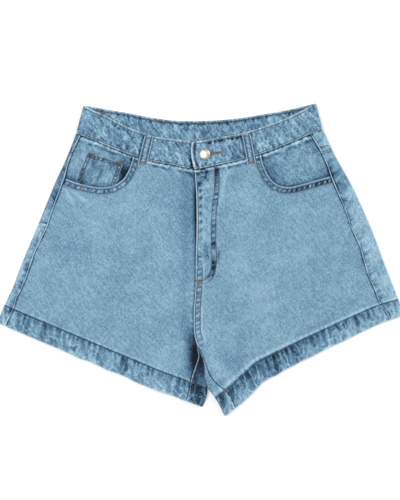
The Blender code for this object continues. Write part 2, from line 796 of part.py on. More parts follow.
def waistband(side):
    up = np.linspace(0, 1, BAND_ROWS)[:, None]
    half = abs(CENTRE_X - BAND_FOLD[side][0][0])
    turn = [BAND_RADIUS * (1 - cos(radians(a))) / half for a in TURN_ANGLES]
    centre = 1 - SEAM / 2 / half
    steps = range(BAND_UNDER_STEPS + 1)
    under = [mix(centre, turn[3], k / BAND_UNDER_STEPS) for k in steps]
    under += [turn[2], turn[1], 0.0]
    if side == "right":
        end = np.full_like(up, 1 + UNDERLAP_REACH)
    else:
        end = 1 + np.array(TAB_EDGE)[:, None] / half
    front = mix(turn[3], end, np.linspace(0, 1, BAND_FRONT_STEPS + 1)[1:][None])
    below = np.broadcast_to(np.array(under)[None], (BAND_ROWS, len(under)))
    corner = np.broadcast_to(np.array(turn[1:])[None], (BAND_ROWS, 3))
    lower, lower_normal = band_points(side, below, np.broadcast_to(up, below.shape), -1)
    above = np.concatenate([corner, front], 1)
    upper, upper_normal = band_points(side, above, np.broadcast_to(up, above.shape), 1)
    if side == "left":
        upper[..., 2] += tab_height(upper)
    points = np.concatenate([lower, upper], 1)
    normals = np.concatenate([lower_normal, upper_normal], 1)
    piece = add_wall(f"waistband_{side}", points, points - normals * BAND_WALL, COLOURS["band"])
    if side == "left":
        outline = ring(BUTTONHOLE_RADIUS)
        low = BAND_CROWN + LIFT - SEAM
        cut(piece, add_cutter("buttonhole_cutter", outline, low, CUTTER_HIGH))
    return piece


# Belt loops and button.


def ring(radius):
    """Points round the button's axis in plan."""
    x, y = BUTTON_XY
    turns = [2 * pi * k / ROUND_STEPS for k in range(ROUND_STEPS)]
    return [(x + radius * cos(a), y + radius * sin(a)) for a in turns]


def front_loop(side):
    (top, bottom, width) = FRONT_LOOPS[side]
    top, bottom = np.array(top), np.array(bottom)
    u = np.linspace(-0.5, 0.5, 5)[None, :, None]
    v = np.array(LOOP_ROWS)[:, None, None]
    plan = mix(top, bottom, v) + u * np.array((width, width * LOOP_SLANT))
    half_x = BAND_FOLD[side][0][0]
    across = (plan[..., 0] - half_x) / (CENTRE_X - half_x)
    seam = waist_y(side, "front_seam", across)
    edge = waist_y(side, "front_edge", across)
    up = np.clip((plan[..., 1] - seam) / (edge - seam), 0, 1)
    on_band = band_points(side, across, up, 1)[0][..., 2]
    _, share = share_at(side, plan)
    on_panel = cloth(side, across, np.maximum(share, 0.0), 1)[0][..., 2]
    below = smooth((seam - plan[..., 1] - LOOP_STEP_FROM) / LOOP_STEP_SPAN)
    height = mix(np.maximum(on_band, on_panel), on_panel, below) + LOOP_LIE
    height += LOOP_GAPE * np.sin(pi * np.clip(v[..., 0] / LOOP_GAPE_SPAN, 0, 1)) ** 2
    points = np.concatenate([plan, height[..., None]], -1)
    return add_wall(
        f"belt_loop_front_{side}", raised(points, LOOP_WALL), points, COLOURS["loop"]
    )


def back_loop(name):
    side, x = BACK_LOOPS[name]
    half_x = BAND_FOLD[side][0][0]
    across = (x - half_x) / (CENTRE_X - half_x)
    high = float(waist_y(side, "back_edge", across)) - BACK_LOOP_INSET
    low = float(waist_y(side, "back_seam", across)) - BACK_LOOP_TAIL
    u = np.linspace(-0.5, 0.5, 4)[None, :] * BACK_LOOP_WIDTH
    v = np.linspace(0, 1, 6)[:, None]
    flat = np.stack(np.broadcast_arrays(x + u, mix(high, low, v), 0 * u * v), -1)
    return add_wall(
        f"belt_loop_back_{name}", flat, raised(flat, LIFT - LIE), COLOURS["loop"]
    )


def button():
    """A shank through the buttonhole and a domed cap, turned about one axis."""
    base = BAND_CROWN + LIFT + SHANK_CLEARANCE
    cap = BAND_CROWN + LIFT + TAB_RAISE + CAP_CLEARANCE
    inward, upward = BUTTON_BEVEL
    profile = [(SHANK_RADIUS, base), (SHANK_RADIUS, cap), (BUTTON_RADIUS - inward, cap)]
    profile += [(BUTTON_RADIUS, cap + upward), (BUTTON_RADIUS, cap + BUTTON_RIM)]
    for lean in (radians(25), radians(45), radians(65), radians(80)):
        rise = BUTTON_RIM + (BUTTON_DOME - BUTTON_RIM) * sin(lean)
        profile.append((BUTTON_RADIUS * cos(lean), cap + rise))
    points = [(x, y, height) for radius, height in profile for x, y in ring(radius)]
    points += [(*BUTTON_XY, base), (*BUTTON_XY, cap + BUTTON_DOME)]
    count = ROUND_STEPS
    faces = []
    for level in range(len(profile) - 1):
        for k in range(count):
            a, b = level * count + k, level * count + (k + 1) % count
            faces.append((a, b, b + count, a + count))
    last = (len(profile) - 1) * count
    for k in range(count):
        faces.append((len(points) - 2, (k + 1) % count, k))
        faces.append((len(points) - 1, last + k, last + (k + 1) % count))
    piece = add_mesh(
        "button", points, faces, COLOURS["metal"], roughness=0.25, metallic=1.0
    )
    piece.data.shade_smooth()
    piece.data.set_sharp_from_angle(angle=radians(40))
    return piece


for old in list(bpy.data.objects):
    bpy.data.objects.remove(old)

FOLDS = {side: fold_lines(side) for side in SIDES}
BAND_LINES = {}
for side in SIDES:
    low, high = (np.array(p) for p in BAND_FOLD[side])
    line = np.array([high + (high - low), low - (high - low)])
    BAND_LINES[side] = [(line, 1.0 if side == "right" else -1.0)]

for side in SIDES:
    front_panel(side)
    back_panel(side)
    back_yoke(side)
    pocket_facing(side)
    waistband(side)
    front_loop(side)
coin_pocket()
fly_facing()
for name in BACK_LOOPS:
    back_loop(name)
button()
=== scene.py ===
from math import cos, pi, radians, sin

import bpy
import numpy as np
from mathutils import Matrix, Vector
from mathutils.bvhtree import BVHTree


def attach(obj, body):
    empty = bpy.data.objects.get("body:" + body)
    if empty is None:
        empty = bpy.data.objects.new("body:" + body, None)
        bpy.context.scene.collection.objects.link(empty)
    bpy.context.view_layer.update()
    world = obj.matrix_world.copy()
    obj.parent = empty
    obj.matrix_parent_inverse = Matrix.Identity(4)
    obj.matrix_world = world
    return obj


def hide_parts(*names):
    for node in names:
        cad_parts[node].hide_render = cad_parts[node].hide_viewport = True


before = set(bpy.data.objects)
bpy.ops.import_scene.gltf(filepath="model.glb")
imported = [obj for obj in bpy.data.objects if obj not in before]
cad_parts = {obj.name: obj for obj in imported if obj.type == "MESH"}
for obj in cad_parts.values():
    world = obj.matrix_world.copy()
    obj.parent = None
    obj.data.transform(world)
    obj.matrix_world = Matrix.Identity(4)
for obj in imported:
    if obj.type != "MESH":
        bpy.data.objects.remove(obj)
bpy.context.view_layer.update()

mm = 0.001
uvUnit = 100.0  # one unit of every UV map is 100 mm of cloth

# How the shorts lie, in millimetres. A leg's share runs from the waist seam, 0, to the
# edge of the hem, 1. Across runs from the side fold, 0, to the centre or inner leg, 1.
lay = {
    "crotch": 0.80,
    "hem": 0.93,
    "legLength": 350.0,
    "centreX": -9.0,
    "seamGap": 0.4,
    "foldRadius": 3.8,
    "bandRadius": 4.2,
    "crown": 6.8,
    "bandCrown": 8.2,
    "settle": 22.0,
    "waistSwell": 0.8,
    "hemSwell": 0.5,
    "lift": 1.8,
    "hemWander": 1.2,
    "hemWave": 14.0,  # mm along the hem
    "seamWander": 1.3,
    "seamWaves": 15.0,  # along one leg
    "gapFade": 0.03,  # share below the crotch in which the rise's gap ends
    "foldNear": 0.6,  # nearer to a fold than this, its own normal takes over
    "yokeSide": 0.092,
    "yokeCentre": 0.16,
}

# share, side fold's x and y, side seam's distance inside the fold, droop of the course
courseColumns = ("share", "x", "y", "seam", "droop")
courses = {
    "right": (
        (0.00, -186.8, 189.1, 7.8, 0.0),
        (0.10, -198.2, 159.8, 5.6, 0.0),
        (0.25, -219.0, 113.2, 11.6, 0.0),
        (0.40, -236.2, 71.2, 13.7, 0.0),
        (0.55, -253.5, 29.2, 12.8, 0.0),
        (0.68, -269.1, -8.2, 13.4, 0.0),
        (0.80, -281.4, -41.2, 12.9, 0.0),
        (0.93, -293.5, -67.7, 13.7, -2.5),
        (1.00, -304.6, -94.8, 12.6, -3.2),
    ),
    "left": (
        (0.00, 182.7, 195.8, 19.0, 0.0),
        (0.10, 198.8, 161.2, 16.6, 0.0),
        (0.25, 224.7, 114.8, 24.0, 0.0),
        (0.40, 243.8, 74.2, 26.3, 0.0),
        (0.55, 259.2, 37.5, 26.2, 0.5),
        (0.68, 273.0, 0.8, 27.9, 3.0),
        (0.80, 283.3, -26.2, 29.3, 8.0),
        (0.93, 295.7, -59.0, 29.4, 20.0),
        (1.00, 304.6, -83.5, 22.5, 19.5),
    ),
}
riseColumns = ("share", "x", "y")
rise = (
    (0.00, -9.0, 135.3),
    (0.10, -7.0, 104.2),
    (0.25, -6.0, 56.2),
    (0.40, -7.0, 3.8),
    (0.55, -8.0, -45.8),
    (0.68, -10.4, -87.8),
    (0.75, -9.5, -113.0),
    (0.80, -4.6, -131.5),
)
legColumns = ("share", "x", "y", "inseam")
legs = {
    "right": (
        (0.80, -4.6, -131.5, 0.7),
        (0.83, 1.5, -145.2, 5.0),
        (0.86, 5.3, -159.0, 12.0),
        (0.89, 6.4, -176.4, 19.0),
        (0.93, 10.2, -192.5, 27.0),
        (0.965, 8.0, -207.5, 27.0),
        (1.00, 2.3, -221.5, 26.0),
    ),
    "left": (
        (0.80, -4.6, -131.5, 0.7),
        (0.83, 1.5, -145.2, 1.2),
        (0.86, 5.3, -159.0, 3.0),
        (0.89, 6.3, -177.8, 8.0),
        (0.91, 10.6, -192.8, 12.5),
        (0.93, 21.0, -206.7, 16.2),
        (1.00, 37.2, -235.5, 17.7),
    ),
}
droopColumns = ("across", "droop")
droops = (
    (0.00, 0.00),
    (0.10, 0.33),
    (0.25, 0.56),
    (0.40, 0.72),
    (0.55, 0.86),
    (0.70, 0.97),
    (0.78, 0.98),
    (0.86, 0.55),
    (0.92, 0.28),
    (1.00, 0.00),
)
waistColumns = ("across", "frontSeam", "frontEdge", "backEdge", "backSeam")
waist = {
    "right": (
        (0.00, 189.1, 230.4, 231.8, 189.1),
        (0.20, 174.9, 215.2, 225.6, 184.5),
        (0.40, 160.6, 198.5, 219.8, 179.2),
        (0.60, 149.2, 186.0, 213.3, 173.5),
        (0.80, 142.0, 180.6, 208.6, 169.4),
        (1.00, 136.4, 177.5, 207.8, 168.0),
        (1.23, 144.6, 180.1, 208.0, 168.0),
    ),
    "left": (
        (0.00, 195.8, 233.9, 234.8, 195.8),
        (0.20, 179.1, 215.1, 225.5, 186.8),
        (0.40, 163.5, 200.9, 218.9, 179.9),
        (0.60, 151.4, 189.5, 212.9, 173.9),
        (0.80, 142.2, 182.5, 209.0, 169.4),
        (1.00, 134.9, 176.5, 207.8, 168.0),
        (1.05, 133.9, 175.9, 207.8, 168.0),
    ),
}
waistBend = {1: (0.22, 2.0), -1: (0.80, 1.3)}  # how far down it bends the courses, and how fast it fades
bandFold = {
    "right": ((-186.8, 189.1), (-175.5, 231.1)),
    "left": ((182.7, 195.8), (172.5, 234.4)),
}
mouths = {
    "right": (
        (-99.5, 172.0),
        (-101.7, 152.0),
        (-107.0, 135.8),
        (-116.5, 120.3),
        (-128.6, 111.8),
        (-143.9, 108.3),
        (-166.8, 110.5),
        (-186.0, 115.2),
        (-202.2, 121.4),
        (-226.0, 131.0),
    ),
    "left": (
        (88.5, 176.0),
        (91.0, 154.8),
        (93.9, 143.2),
        (98.9, 131.5),
        (108.3, 117.5),
        (120.5, 110.2),
        (133.2, 108.8),
        (152.2, 112.9),
        (171.5, 118.4),
        (202.0, 126.6),
        (226.0, 133.0),
    ),
}
sides = ("right", "left")
outward = {"right": 1.0, "left": -1.0}  # the way out from a line that runs down a side
# where each piece's random draws start
seeds = {
    "front": {"right": 10, "left": 40},
    "band": {"right": 70, "left": 90},
    "back": {"right": 120, "left": 150},
    "underYoke": {"right": 131, "left": 161},
    "yoke": {"right": 171, "left": 181},
    "facing": {"right": 200, "left": 220},
    "loop": {"right": 251, "left": 253},
}


def column(table, columns, name):
    return np.array([row[columns.index(name)] for row in table])


def along(knots, values, at):
    # a smooth curve through a table's values
    slopes = np.gradient(values, knots)
    at = np.asarray(at, float)
    i = np.clip(np.searchsorted(knots, at, side="right") - 1, 0, len(knots) - 2)
    step = knots[i + 1] - knots[i]
    s = (at - knots[i]) / step
    start = values[i] * (1 + 2 * s) * (1 - s) ** 2 + slopes[i] * step * s * (1 - s) ** 2
    end = values[i + 1] * s * s * (3 - 2 * s) + slopes[i + 1] * step * s * s * (s - 1)
    return start + end


def read(table, columns, name, at):
    return along(column(table, columns, columns[0]), column(table, columns, name), at)


def smooth(x):
    x = np.clip(x, 0.0, 1.0)
    return x * x * (3 - 2 * x)


def mix(a, b, share):
    return a + (b - a) * share


def bell(x):
    return np.exp(-(x**2))


def fadeIn(x, start, length):
    return smooth((x - start) / length)


def fadeOut(x, start, length):
    return 1 - smooth((x - start) / length)


def window(x, start, end, soft):
    return smooth((x - start) / soft + 0.5) * (1 - smooth((x - end) / soft + 0.5))


def stripes(off, *rows):
    # soft lines beside a seam: strength, mm from it, mm wide
    return sum(strength * bell((off - at) / wide) for strength, at, wide in rows)


def sided(name, side):
    return name + side.title()


def outerFold(side, share):
    return np.stack([read(courses[side], courseColumns, c, share) for c in "xy"], -1)


def innerEnd(side, share):
    # rise seam above the crotch, inner-leg fold below it
    share = np.asarray(share, float)
    onRise = np.minimum(share, lay["crotch"])
    onLeg = np.maximum(share, lay["crotch"])
    gap = -outward[side] * lay["seamGap"] / 2 * fadeOut(share, lay["crotch"], lay["gapFade"])
    high = [read(rise, riseColumns, c, onRise) for c in "xy"]
    low = [read(legs[side], legColumns, c, onLeg) for c in "xy"]
    x, y = (np.where(share > lay["crotch"], low[k], high[k]) for k in (0, 1))
    return np.stack([x + gap, y], -1)


def seamInset(side, share):
    # how far inside the fold the side seam lies: it wanders as it was sewn
    wander = softNoise(share * lay["seamWaves"], 0 * share, 12)
    wander = wander * fadeIn(share, 0.1, 0.1) * smooth((1.02 - share) / 0.1)
    return read(courses[side], courseColumns, "seam", share) + lay["seamWander"] * wander


def inseamInset(side, share):
    # how far inside the inner leg's fold the inseam lies
    return read(legs[side], legColumns, "inseam", np.maximum(share, lay["crotch"]))


def waistY(side, edge, across):
    return read(waist[side], waistColumns, edge, across)


def coursePoint(side, across, share, face):
    outer, inner = outerFold(side, share), innerEnd(side, share)
    point = mix(outer, inner, across[..., None])
    droop = read(courses[side], courseColumns, "droop", share)
    shape = read(droops, droopColumns, "droop", np.clip(across, 0, 1))
    straight = mix(outerFold(side, 0.0)[1], innerEnd(side, 0.0)[1], across)
    edge = "frontSeam" if face > 0 else "backSeam"
    bend = waistY(side, edge, across) - lay["seamGap"] / 2 - straight
    reach, power = waistBend[face]
    point[..., 1] += droop * shape
    point[..., 1] += bend * np.clip(1 - share / reach, 0, 1) ** power
    wander = softNoise(point[..., 0] / lay["hemWave"] + 40, 0 * share, 8) * fadeIn(share, 0.95, 0.05)
    point[..., 1] += lay["hemWander"] * wander * fadeIn(across, 0.2, 0.2) * smooth((0.97 - across) / 0.1)
    return point


def courseLength(side, share):
    return np.linalg.norm(innerEnd(side, share) - outerFold(side, share), axis=-1)


def longer(line, atStart, by=12):
    if atStart:
        line = np.vstack([line[0] + (line[0] - line[1]) * by, line])
    return np.vstack([line, line[-1] + (line[-1] - line[-2]) * by])


def foldLines(side):
    outer = longer(outerFold(side, np.linspace(0, 1, 50)), True)
    inner = longer(innerEnd(side, np.linspace(lay["crotch"] + 1e-4, 1, 40)), False)
    return [(outer, outward[side]), (inner, -outward[side])]


def nearest(line, sign, points):
    # distance to a line, the way to it, its outward normal there, and how far along it
    start, step = line[:-1], line[1:] - line[:-1]
    length = np.linalg.norm(step, axis=1)
    rel = points[:, None, :] - start[None]
    share = np.clip((rel * step).sum(-1) / length**2, 0, 1)
    gap = rel - share[..., None] * step
    far = np.linalg.norm(gap, axis=-1)
    best = far.argmin(1)
    rows = np.arange(len(points))
    unit = step[best] / length[best][:, None]
    normal = np.stack([unit[:, 1], -unit[:, 0]], 1) * sign
    before = np.concatenate([[0], np.cumsum(length)])[best]
    return far[rows, best], -gap[rows, best], normal, before + share[rows, best] * length[best]


def foldFrame(lines, points):
    found = [nearest(line, sign, points) for line, sign in lines]
    which = np.argmin([f[0] for f in found], axis=0)
    rows = np.arange(len(points))
    far, toward, normal = (np.array([f[k] for f in found])[which, rows] for k in (0, 1, 2))
    close = np.clip(far / lay["foldNear"], 0, 1)[:, None]
    out = toward / np.maximum(far, 1e-9)[:, None] * close + normal * (1 - close)
    beyond = (out * normal).sum(1) < -0.7
    out[beyond] = normal[beyond]
    far[beyond] = 0.0
    return far, out / np.linalg.norm(out, axis=1)[:, None]


def rounded(lines, points, face, radius, crown):
    # height and outward normal of cloth that is folded round at its lines
    far, out = foldFrame(lines, points)
    level = np.clip(1 - far / radius, 0, 1)
    upright = np.sqrt(1 - level**2)
    height = radius * (1 + face * upright)
    settled = 1 - bell(np.maximum(far - radius, 0) / lay["settle"])
    height = height - np.where(face > 0, (2 * radius - crown) * settled, 0)
    normal = np.concatenate([out * level[:, None], (face * upright)[:, None]], 1)
    return height, normal, far


def clothAt(side, across, share, face):
    # outer face of one half: points and normals
    plan = coursePoint(side, across, share, face)
    height, normal, far = rounded(folds[side], plan, face, lay["foldRadius"], lay["crown"])
    height = height + lay["lift"] * fadeOut(share, 0.05, 0.11)
    if face > 0:
        extra = lay["waistSwell"] * (1 - smooth(share / 0.1))
        extra = extra + creaseHeight(plan) + pocketSwell(side, plan)
        height = height + extra * smooth(far / (2 * lay["foldRadius"]))
    return np.concatenate([plan, height[:, None]], 1), normal


# x, y, angle from +X in degrees, length, width, height, and how much paler the cloth is: worn whiskers,
# painted highlight on raised creases, and painted shade in the crotch valley and other hollows
creases = (
    (-11.0, -142.0, 100.0, 42.0, 9.0, -1.3, -0.35),
    (30.0, -168.0, -38.0, 34.0, 9.0, 1.1, 0.10),
    (44.0, -152.0, -42.0, 38.0, 10.0, -0.8, -0.08),
    (-52.0, -60.0, 14.0, 60.0, 15.0, 0.7, 0.03),
    (100.0, -20.0, 68.0, 85.0, 24.0, 0.8, 0.05),
    (-150.0, 5.0, 60.0, 90.0, 26.0, 0.7, 0.05),
    (-60.0, -150.0, 60.0, 40.0, 16.0, 0.8, 0.05),
    (78.0, -196.0, 60.0, 26.0, 12.0, 1.4, 0.10),
    (190.0, -62.0, 62.0, 40.0, 18.0, 0.7, 0.03),
    (33.5, 106.0, 81.0, 22.0, 2.4, 0.4, 0.26),
    (27.0, 6.0, 88.0, 9.0, 2.6, -0.3, -0.42),
    (-22.0, 60.0, 90.0, 60.0, 9.0, -0.4, -0.10),
    (-178.0, 92.0, -40.0, 12.0, 2.6, 0.4, 0.30),
    (-196.0, 92.0, -62.0, 13.0, 2.4, 0.3, 0.24),
    (196.0, 118.0, -55.0, 12.0, 2.6, 0.3, 0.22),
    (-36.0, 132.0, -50.0, 9.0, 2.0, 0.3, 0.30),
    (-60.0, 136.0, -42.0, 10.0, 2.2, 0.3, 0.24),
    (-15.5, 128.0, -52.0, 8.0, 2.6, -0.4, -0.55),
    (10.0, 122.0, -48.0, 9.0, 1.6, 0.3, 0.34),
    (40.0, 128.0, 62.0, 10.0, 2.0, 0.3, 0.26),
)


def creaseShare(points, row):
    x, y, angle, length, width = row[:5]
    turn = radians(angle)
    rel = points[:, :2] - (x, y)
    run = rel[:, 0] * cos(turn) + rel[:, 1] * sin(turn)
    off = rel[:, 1] * cos(turn) - rel[:, 0] * sin(turn)
    return bell(run / length) * bell(off / width)


def creaseHeight(points):
    return sum(row[5] * creaseShare(points, row) for row in creases)


# painted highlight and painted shade of the creases, with their worn whiskers
def creaseShadingAndWear(points):
    return sum(row[6] * creaseShare(points, row) for row in creases)


handRoom = {"right": (-148.0, 122.0), "left": (140.0, 122.0)}  # where the pockets swell
handReach = (62.0, 42.0)


def pocketSwell(side, points):
    rel = (points - handRoom[side]) / handReach
    return np.exp(-(rel**2).sum(-1))


def softNoise(u, v, seed):
    # smooth random values from -1 to 1, about one bump a unit
    table = np.random.RandomState(seed).uniform(-1, 1, (64, 64))
    iu, iv = np.floor(u).astype(int), np.floor(v).astype(int)
    a, b = smooth(u - iu), smooth(v - iv)
    low, high = (mix(table[iu % 64, k % 64], table[(iu + 1) % 64, k % 64], a) for k in (iv, iv + 1))
    return mix(low, high, b)


def turnedPlace(points, row):
    # angle in degrees, mm long, mm wide
    angle, long, wide = row
    turn = radians(angle)
    u = (points[:, 0] * cos(turn) + points[:, 1] * sin(turn)) / long
    v = (points[:, 1] * cos(turn) - points[:, 0] * sin(turn)) / wide
    return u, v


def turnedNoise(points, row, seed):
    # the same, drawn out along one direction
    u, v = turnedPlace(points, row)
    return softNoise(u + 31.7, v + 17.3, seed)


def crumple(points, row, seed):
    # crushed cloth in cells: how near a point is to the sharp vein between two, and its cell's tone
    u, v = turnedPlace(points, row)
    bent, often = 0.45, 1.3
    u, v = (
        u + bent * softNoise(u * often, v * often, seed + 1),
        v + bent * softNoise(v * often, u * often, seed + 2),
    )
    iu, iv = np.floor(u).astype(int), np.floor(v).astype(int)
    table = np.random.RandomState(seed).uniform(0, 1, (64, 64, 4))
    first, second = np.full(len(u), 9.0), np.full(len(u), 9.0)
    tone, force = np.zeros(len(u)), np.zeros(len(u))
    for du in (-1, 0, 1):
        for dv in (-1, 0, 1):
            cell = table[(iu + du) % 64, (iv + dv) % 64]
            far = np.hypot(iu + du + cell[:, 0] - u, iv + dv + cell[:, 1] - v)
            nearer = far < first
            second = np.where(nearer, first, np.minimum(second, far))
            tone = np.where(nearer, 2 * cell[:, 2] - 1, tone)
            force = np.where(nearer, cell[:, 3], force)
            first = np.where(nearer, far, first)
    vein = bell((second - first) / 0.20) * (0.35 + 0.65 * force)
    return vein, tone


def ridges(run, off, seed, row, lean=0.0, wander=0.3):
    # uneven soft ridges, 0 to 1, that start at a seam: run goes along it, off away from it
    step, wide, reach = row  # mm apart, mm wide, mm long
    dice = np.random.RandomState(seed)
    total = np.zeros_like(run)
    place, last = run.min(), run.max()
    while place < last:
        place += step * dice.uniform(0.55, 1.5)
        tall, fat = dice.uniform(0.4, 1.0), wide * dice.uniform(0.7, 1.35)
        far, tilt = reach * dice.uniform(0.5, 1.15), lean + dice.uniform(-wander, wander)
        near = np.flatnonzero(np.abs(run - place - tilt * off) < 3 * fat)
        shape = bell((run[near] - place - tilt * off[near]) / fat)
        shape = tall * shape * (1 - smooth(off[near] / far))
        total[near] = np.maximum(total[near], shape)
    return total


folds = {side: foldLines(side) for side in sides}
bandLines = {}
for side in sides:
    low, high = (np.array(p) for p in bandFold[side])
    line = np.array([high + (high - low), low - (high - low)])
    bandLines[side] = [(line, outward[side])]
print("lay of the cloth read")


def spread(*stretches):
    # one rising row of places from (start, end, steps) stretches
    rows = [np.linspace(a, b, n + 1)[:-1] for a, b, n in stretches]
    return np.concatenate([*rows, [stretches[-1][1]]])


def gridFaces(rows, columns):
    index = np.arange(rows * columns).reshape(rows, columns)
    quads = [index[:-1, :-1], index[:-1, 1:], index[1:, 1:], index[1:, :-1]]
    return np.stack(quads, -1).reshape(-1, 4)


def patchGrid(rows, columns):
    share, place = np.meshgrid(rows, columns, indexing="ij")
    return share.ravel(), place.ravel(), gridFaces(*share.shape)


def clipPatch(values, faces, signed):
    # keeps the part of a grid where signed is over 0, with new points where its edges cross 0
    kept = signed[faces] > 0
    whole = faces[kept.all(1)]
    crossing = faces[kept.any(1) & ~kept.all(1)]
    count, made, extra, polygons = len(signed), {}, [], whole.tolist()
    for face in crossing:
        ring = []
        for a, b in zip(face, np.roll(face, -1)):
            if signed[a] > 0:
                ring.append(int(a))
            if (signed[a] > 0) != (signed[b] > 0):
                key = (min(a, b), max(a, b))
                if key not in made:
                    k = signed[a] / (signed[a] - signed[b])
                    made[key] = count + len(extra)
                    extra.append(mix(values[a], values[b], k))
                ring.append(made[key])
        polygons.append(ring)
    values = np.vstack([values, extra]) if extra else values
    used = np.unique(np.concatenate([np.array(p) for p in polygons]))
    renumber = np.full(len(values), -1)
    renumber[used] = np.arange(len(used))
    return values[used], [renumber[p].tolist() for p in polygons]


def linear(hexColour):
    # sRGB hex to linear
    parts = [int(hexColour[i : i + 2], 16) / 255 for i in (1, 3, 5)]
    return [c / 12.92 if c <= 0.04045 else ((c + 0.055) / 1.055) ** 2.4 for c in parts]


def addNode(tree, kind, settings=None, **links):
    # a node with its settings, and the sockets or values that go into it
    node = tree.nodes.new(kind)
    for key, value in (settings or {}).items():
        setattr(node, key, value)
    for key, value in links.items():
        socket = node.inputs[int(key[1:])] if key[1:].isdigit() else node.inputs[key.replace("_", " ")]
        if isinstance(value, bpy.types.NodeSocket):
            tree.links.new(value, socket)
        else:
            socket.default_value = value
    return node


def newMaterial(name):
    made = bpy.data.materials.new(name)
    made.use_nodes = True
    tree = made.node_tree
    return made, tree, tree.nodes["Principled BSDF"]


# Denim: 3/1 cotton twill, indigo warp over white weft, stone-washed. The eye sees pale
# high places, dark hollows, a fine slub grain and no gloss.
denimLook = {
    "stops": (
        # the near-black first stop serves the painted shadow at the crotch
        (0.00, "#070E17"),
        (0.20, "#2F4E69"),
        (0.38, "#577B95"),
        (0.52, "#769BB1"),
        (0.66, "#94B5C7"),
        (1.00, "#C9DAE3"),
    ),
    # angle from the cloth's width in degrees, mm long, mm wide, strength
    "slub": (-50, 2.8, 1.2, 0.74),  # thick places in the yarn, drawn about twice as coarse
    "scuff": (-54, 9.0, 1.6, 0.38),
    "mottle": (48, 5.0, 4.0, 0.17),
    "fade": (60, 60.0, 38.0, 0.12),
    "twill": 1.2,  # mm from one twill line to the next: the real 0.8, drawn coarser
    "twillStrength": 0.10,
    "relief": 0.00030,
}
reverseLook = {
    "stops": (
        (0.00, "#4B6076"),
        (0.35, "#8095A6"),
        (0.52, "#A0B2BF"),
        (0.75, "#C0CDD5"),
        (1.00, "#DCE4E8"),
    ),
}


def denimMaterial(name, look):
    look = {**denimLook, **look}
    made, tree, shader = newMaterial(name)
    washAndShade = addNode(tree, "ShaderNodeAttribute", {"attribute_name": "washAndShade"}).outputs["Fac"]
    place = addNode(tree, "ShaderNodeUVMap", {"uv_map": "cloth"}).outputs[0]
    textured = {"vector_type": "TEXTURE"}
    layers = []
    for count, layer in enumerate(("slub", "scuff", "mottle", "fade")):
        angle, long, wide, strength = look[layer]
        shift = 3.7 * count
        spot = addNode(
            tree,
            "ShaderNodeMapping",
            textured,
            Vector=place,
            Rotation=(0, 0, radians(angle)),
            Scale=(long / uvUnit, wide / uvUnit, 1),
            Location=(shift, shift * 0.7, shift),
        ).outputs[0]
        noise = addNode(tree, "ShaderNodeTexNoise", None, Vector=spot, Scale=1.0, Detail=2.0, Roughness=0.6)
        layers.append((noise.outputs["Fac"], strength))
    lines = addNode(
        tree,
        "ShaderNodeMapping",
        textured,
        Vector=place,
        Rotation=(0, 0, radians(look["slub"][0] + 90)),
        Scale=(look["twill"] / uvUnit,) * 3,
    )
    twill = addNode(
        tree,
        "ShaderNodeTexWave",
        {"wave_type": "BANDS", "bands_direction": "X"},
        Vector=lines.outputs[0],
        Scale=pi / 10,
        Distortion=1.5,
        Detail=1.0,
    ).outputs["Fac"]
    layers.append((twill, look["twillStrength"]))
    timesPlus = {"operation": "MULTIPLY_ADD"}
    total = 0.5 - sum(strength for _, strength in layers) / 2
    for value, strength in ((washAndShade, 0.5), *layers):
        total = addNode(tree, "ShaderNodeMath", timesPlus, i0=value, i1=strength, i2=total).outputs[0]
    ramp = addNode(tree, "ShaderNodeValToRGB", None, Fac=total)
    bands = ramp.color_ramp
    while len(bands.elements) < len(look["stops"]):
        bands.elements.new(0.5)
    for element, (at, colour) in zip(bands.elements, look["stops"]):
        element.position = at
        element.color = (*linear(colour), 1)
    tree.links.new(ramp.outputs[0], shader.inputs["Base Color"])
    shader.inputs["Roughness"].default_value = 0.92
    shader.inputs["Specular IOR Level"].default_value = 0.25
    shader.inputs["Sheen Weight"].default_value = 0.12
    shader.inputs["Sheen Roughness"].default_value = 0.5
    height = layers[0][0]
    for value, strength in ((twill, 0.45), (layers[1][0], 0.8)):
        height = addNode(tree, "ShaderNodeMath", timesPlus, i0=value, i1=strength, i2=height).outputs[0]
    bump = addNode(tree, "ShaderNodeBump", None, Height=height, Distance=look["relief"], Strength=0.9)
    tree.links.new(bump.outputs[0], shader.inputs["Normal"])
    return made


def threadMaterial(name, colour, worn):
    # polyester-cotton core thread: matt, twisted, faded in patches by the wash
    made, tree, shader = newMaterial(name)
    place = addNode(tree, "ShaderNodeTexCoord").outputs["Object"]
    patches = addNode(tree, "ShaderNodeTexNoise", None, Vector=place, Scale=130.0).outputs["Fac"]
    blend = addNode(tree, "ShaderNodeValToRGB", None, Fac=patches)
    bands = blend.color_ramp
    bands.elements[0].position, bands.elements[1].position = 0.38, 0.66
    bands.elements[0].color = (*linear(colour), 1)
    bands.elements[1].color = (*linear(worn), 1)
    tree.links.new(blend.outputs[0], shader.inputs["Base Color"])
    shader.inputs["Roughness"].default_value = 0.75
    shader.inputs["Sheen Weight"].default_value = 0.2
    twist = addNode(tree, "ShaderNodeTexNoise", None, Vector=place, Scale=2200.0).outputs["Fac"]
    bump = addNode(tree, "ShaderNodeBump", None, Height=twist, Distance=0.0001, Strength=0.5)
    tree.links.new(bump.outputs[0], shader.inputs["Normal"])
    return made


denim = denimMaterial("stonewashedDenim", {})
denimReverse = denimMaterial("denimReverse", reverseLook)
tanThread = threadMaterial("tanThread", "#604E3B", "#7D6D58")
rustThread = threadMaterial("rustThread", "#66503A", "#806B52")
darkThread = threadMaterial("indigoThread", "#26343F", "#42525E")
print("denim and thread made")

# The shell of a cloth piece: pieces by name, and a tree of each one's faces to cast stitches on.
pieces, trees = {}, {}
clothStep = np.array((7.3, 4.1))  # from one piece's place in the cloth to the next one's


def linkPiece(name, mesh):
    piece = bpy.data.objects.new(name, mesh)
    bpy.context.scene.collection.objects.link(piece)
    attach(piece, "root")
    return piece


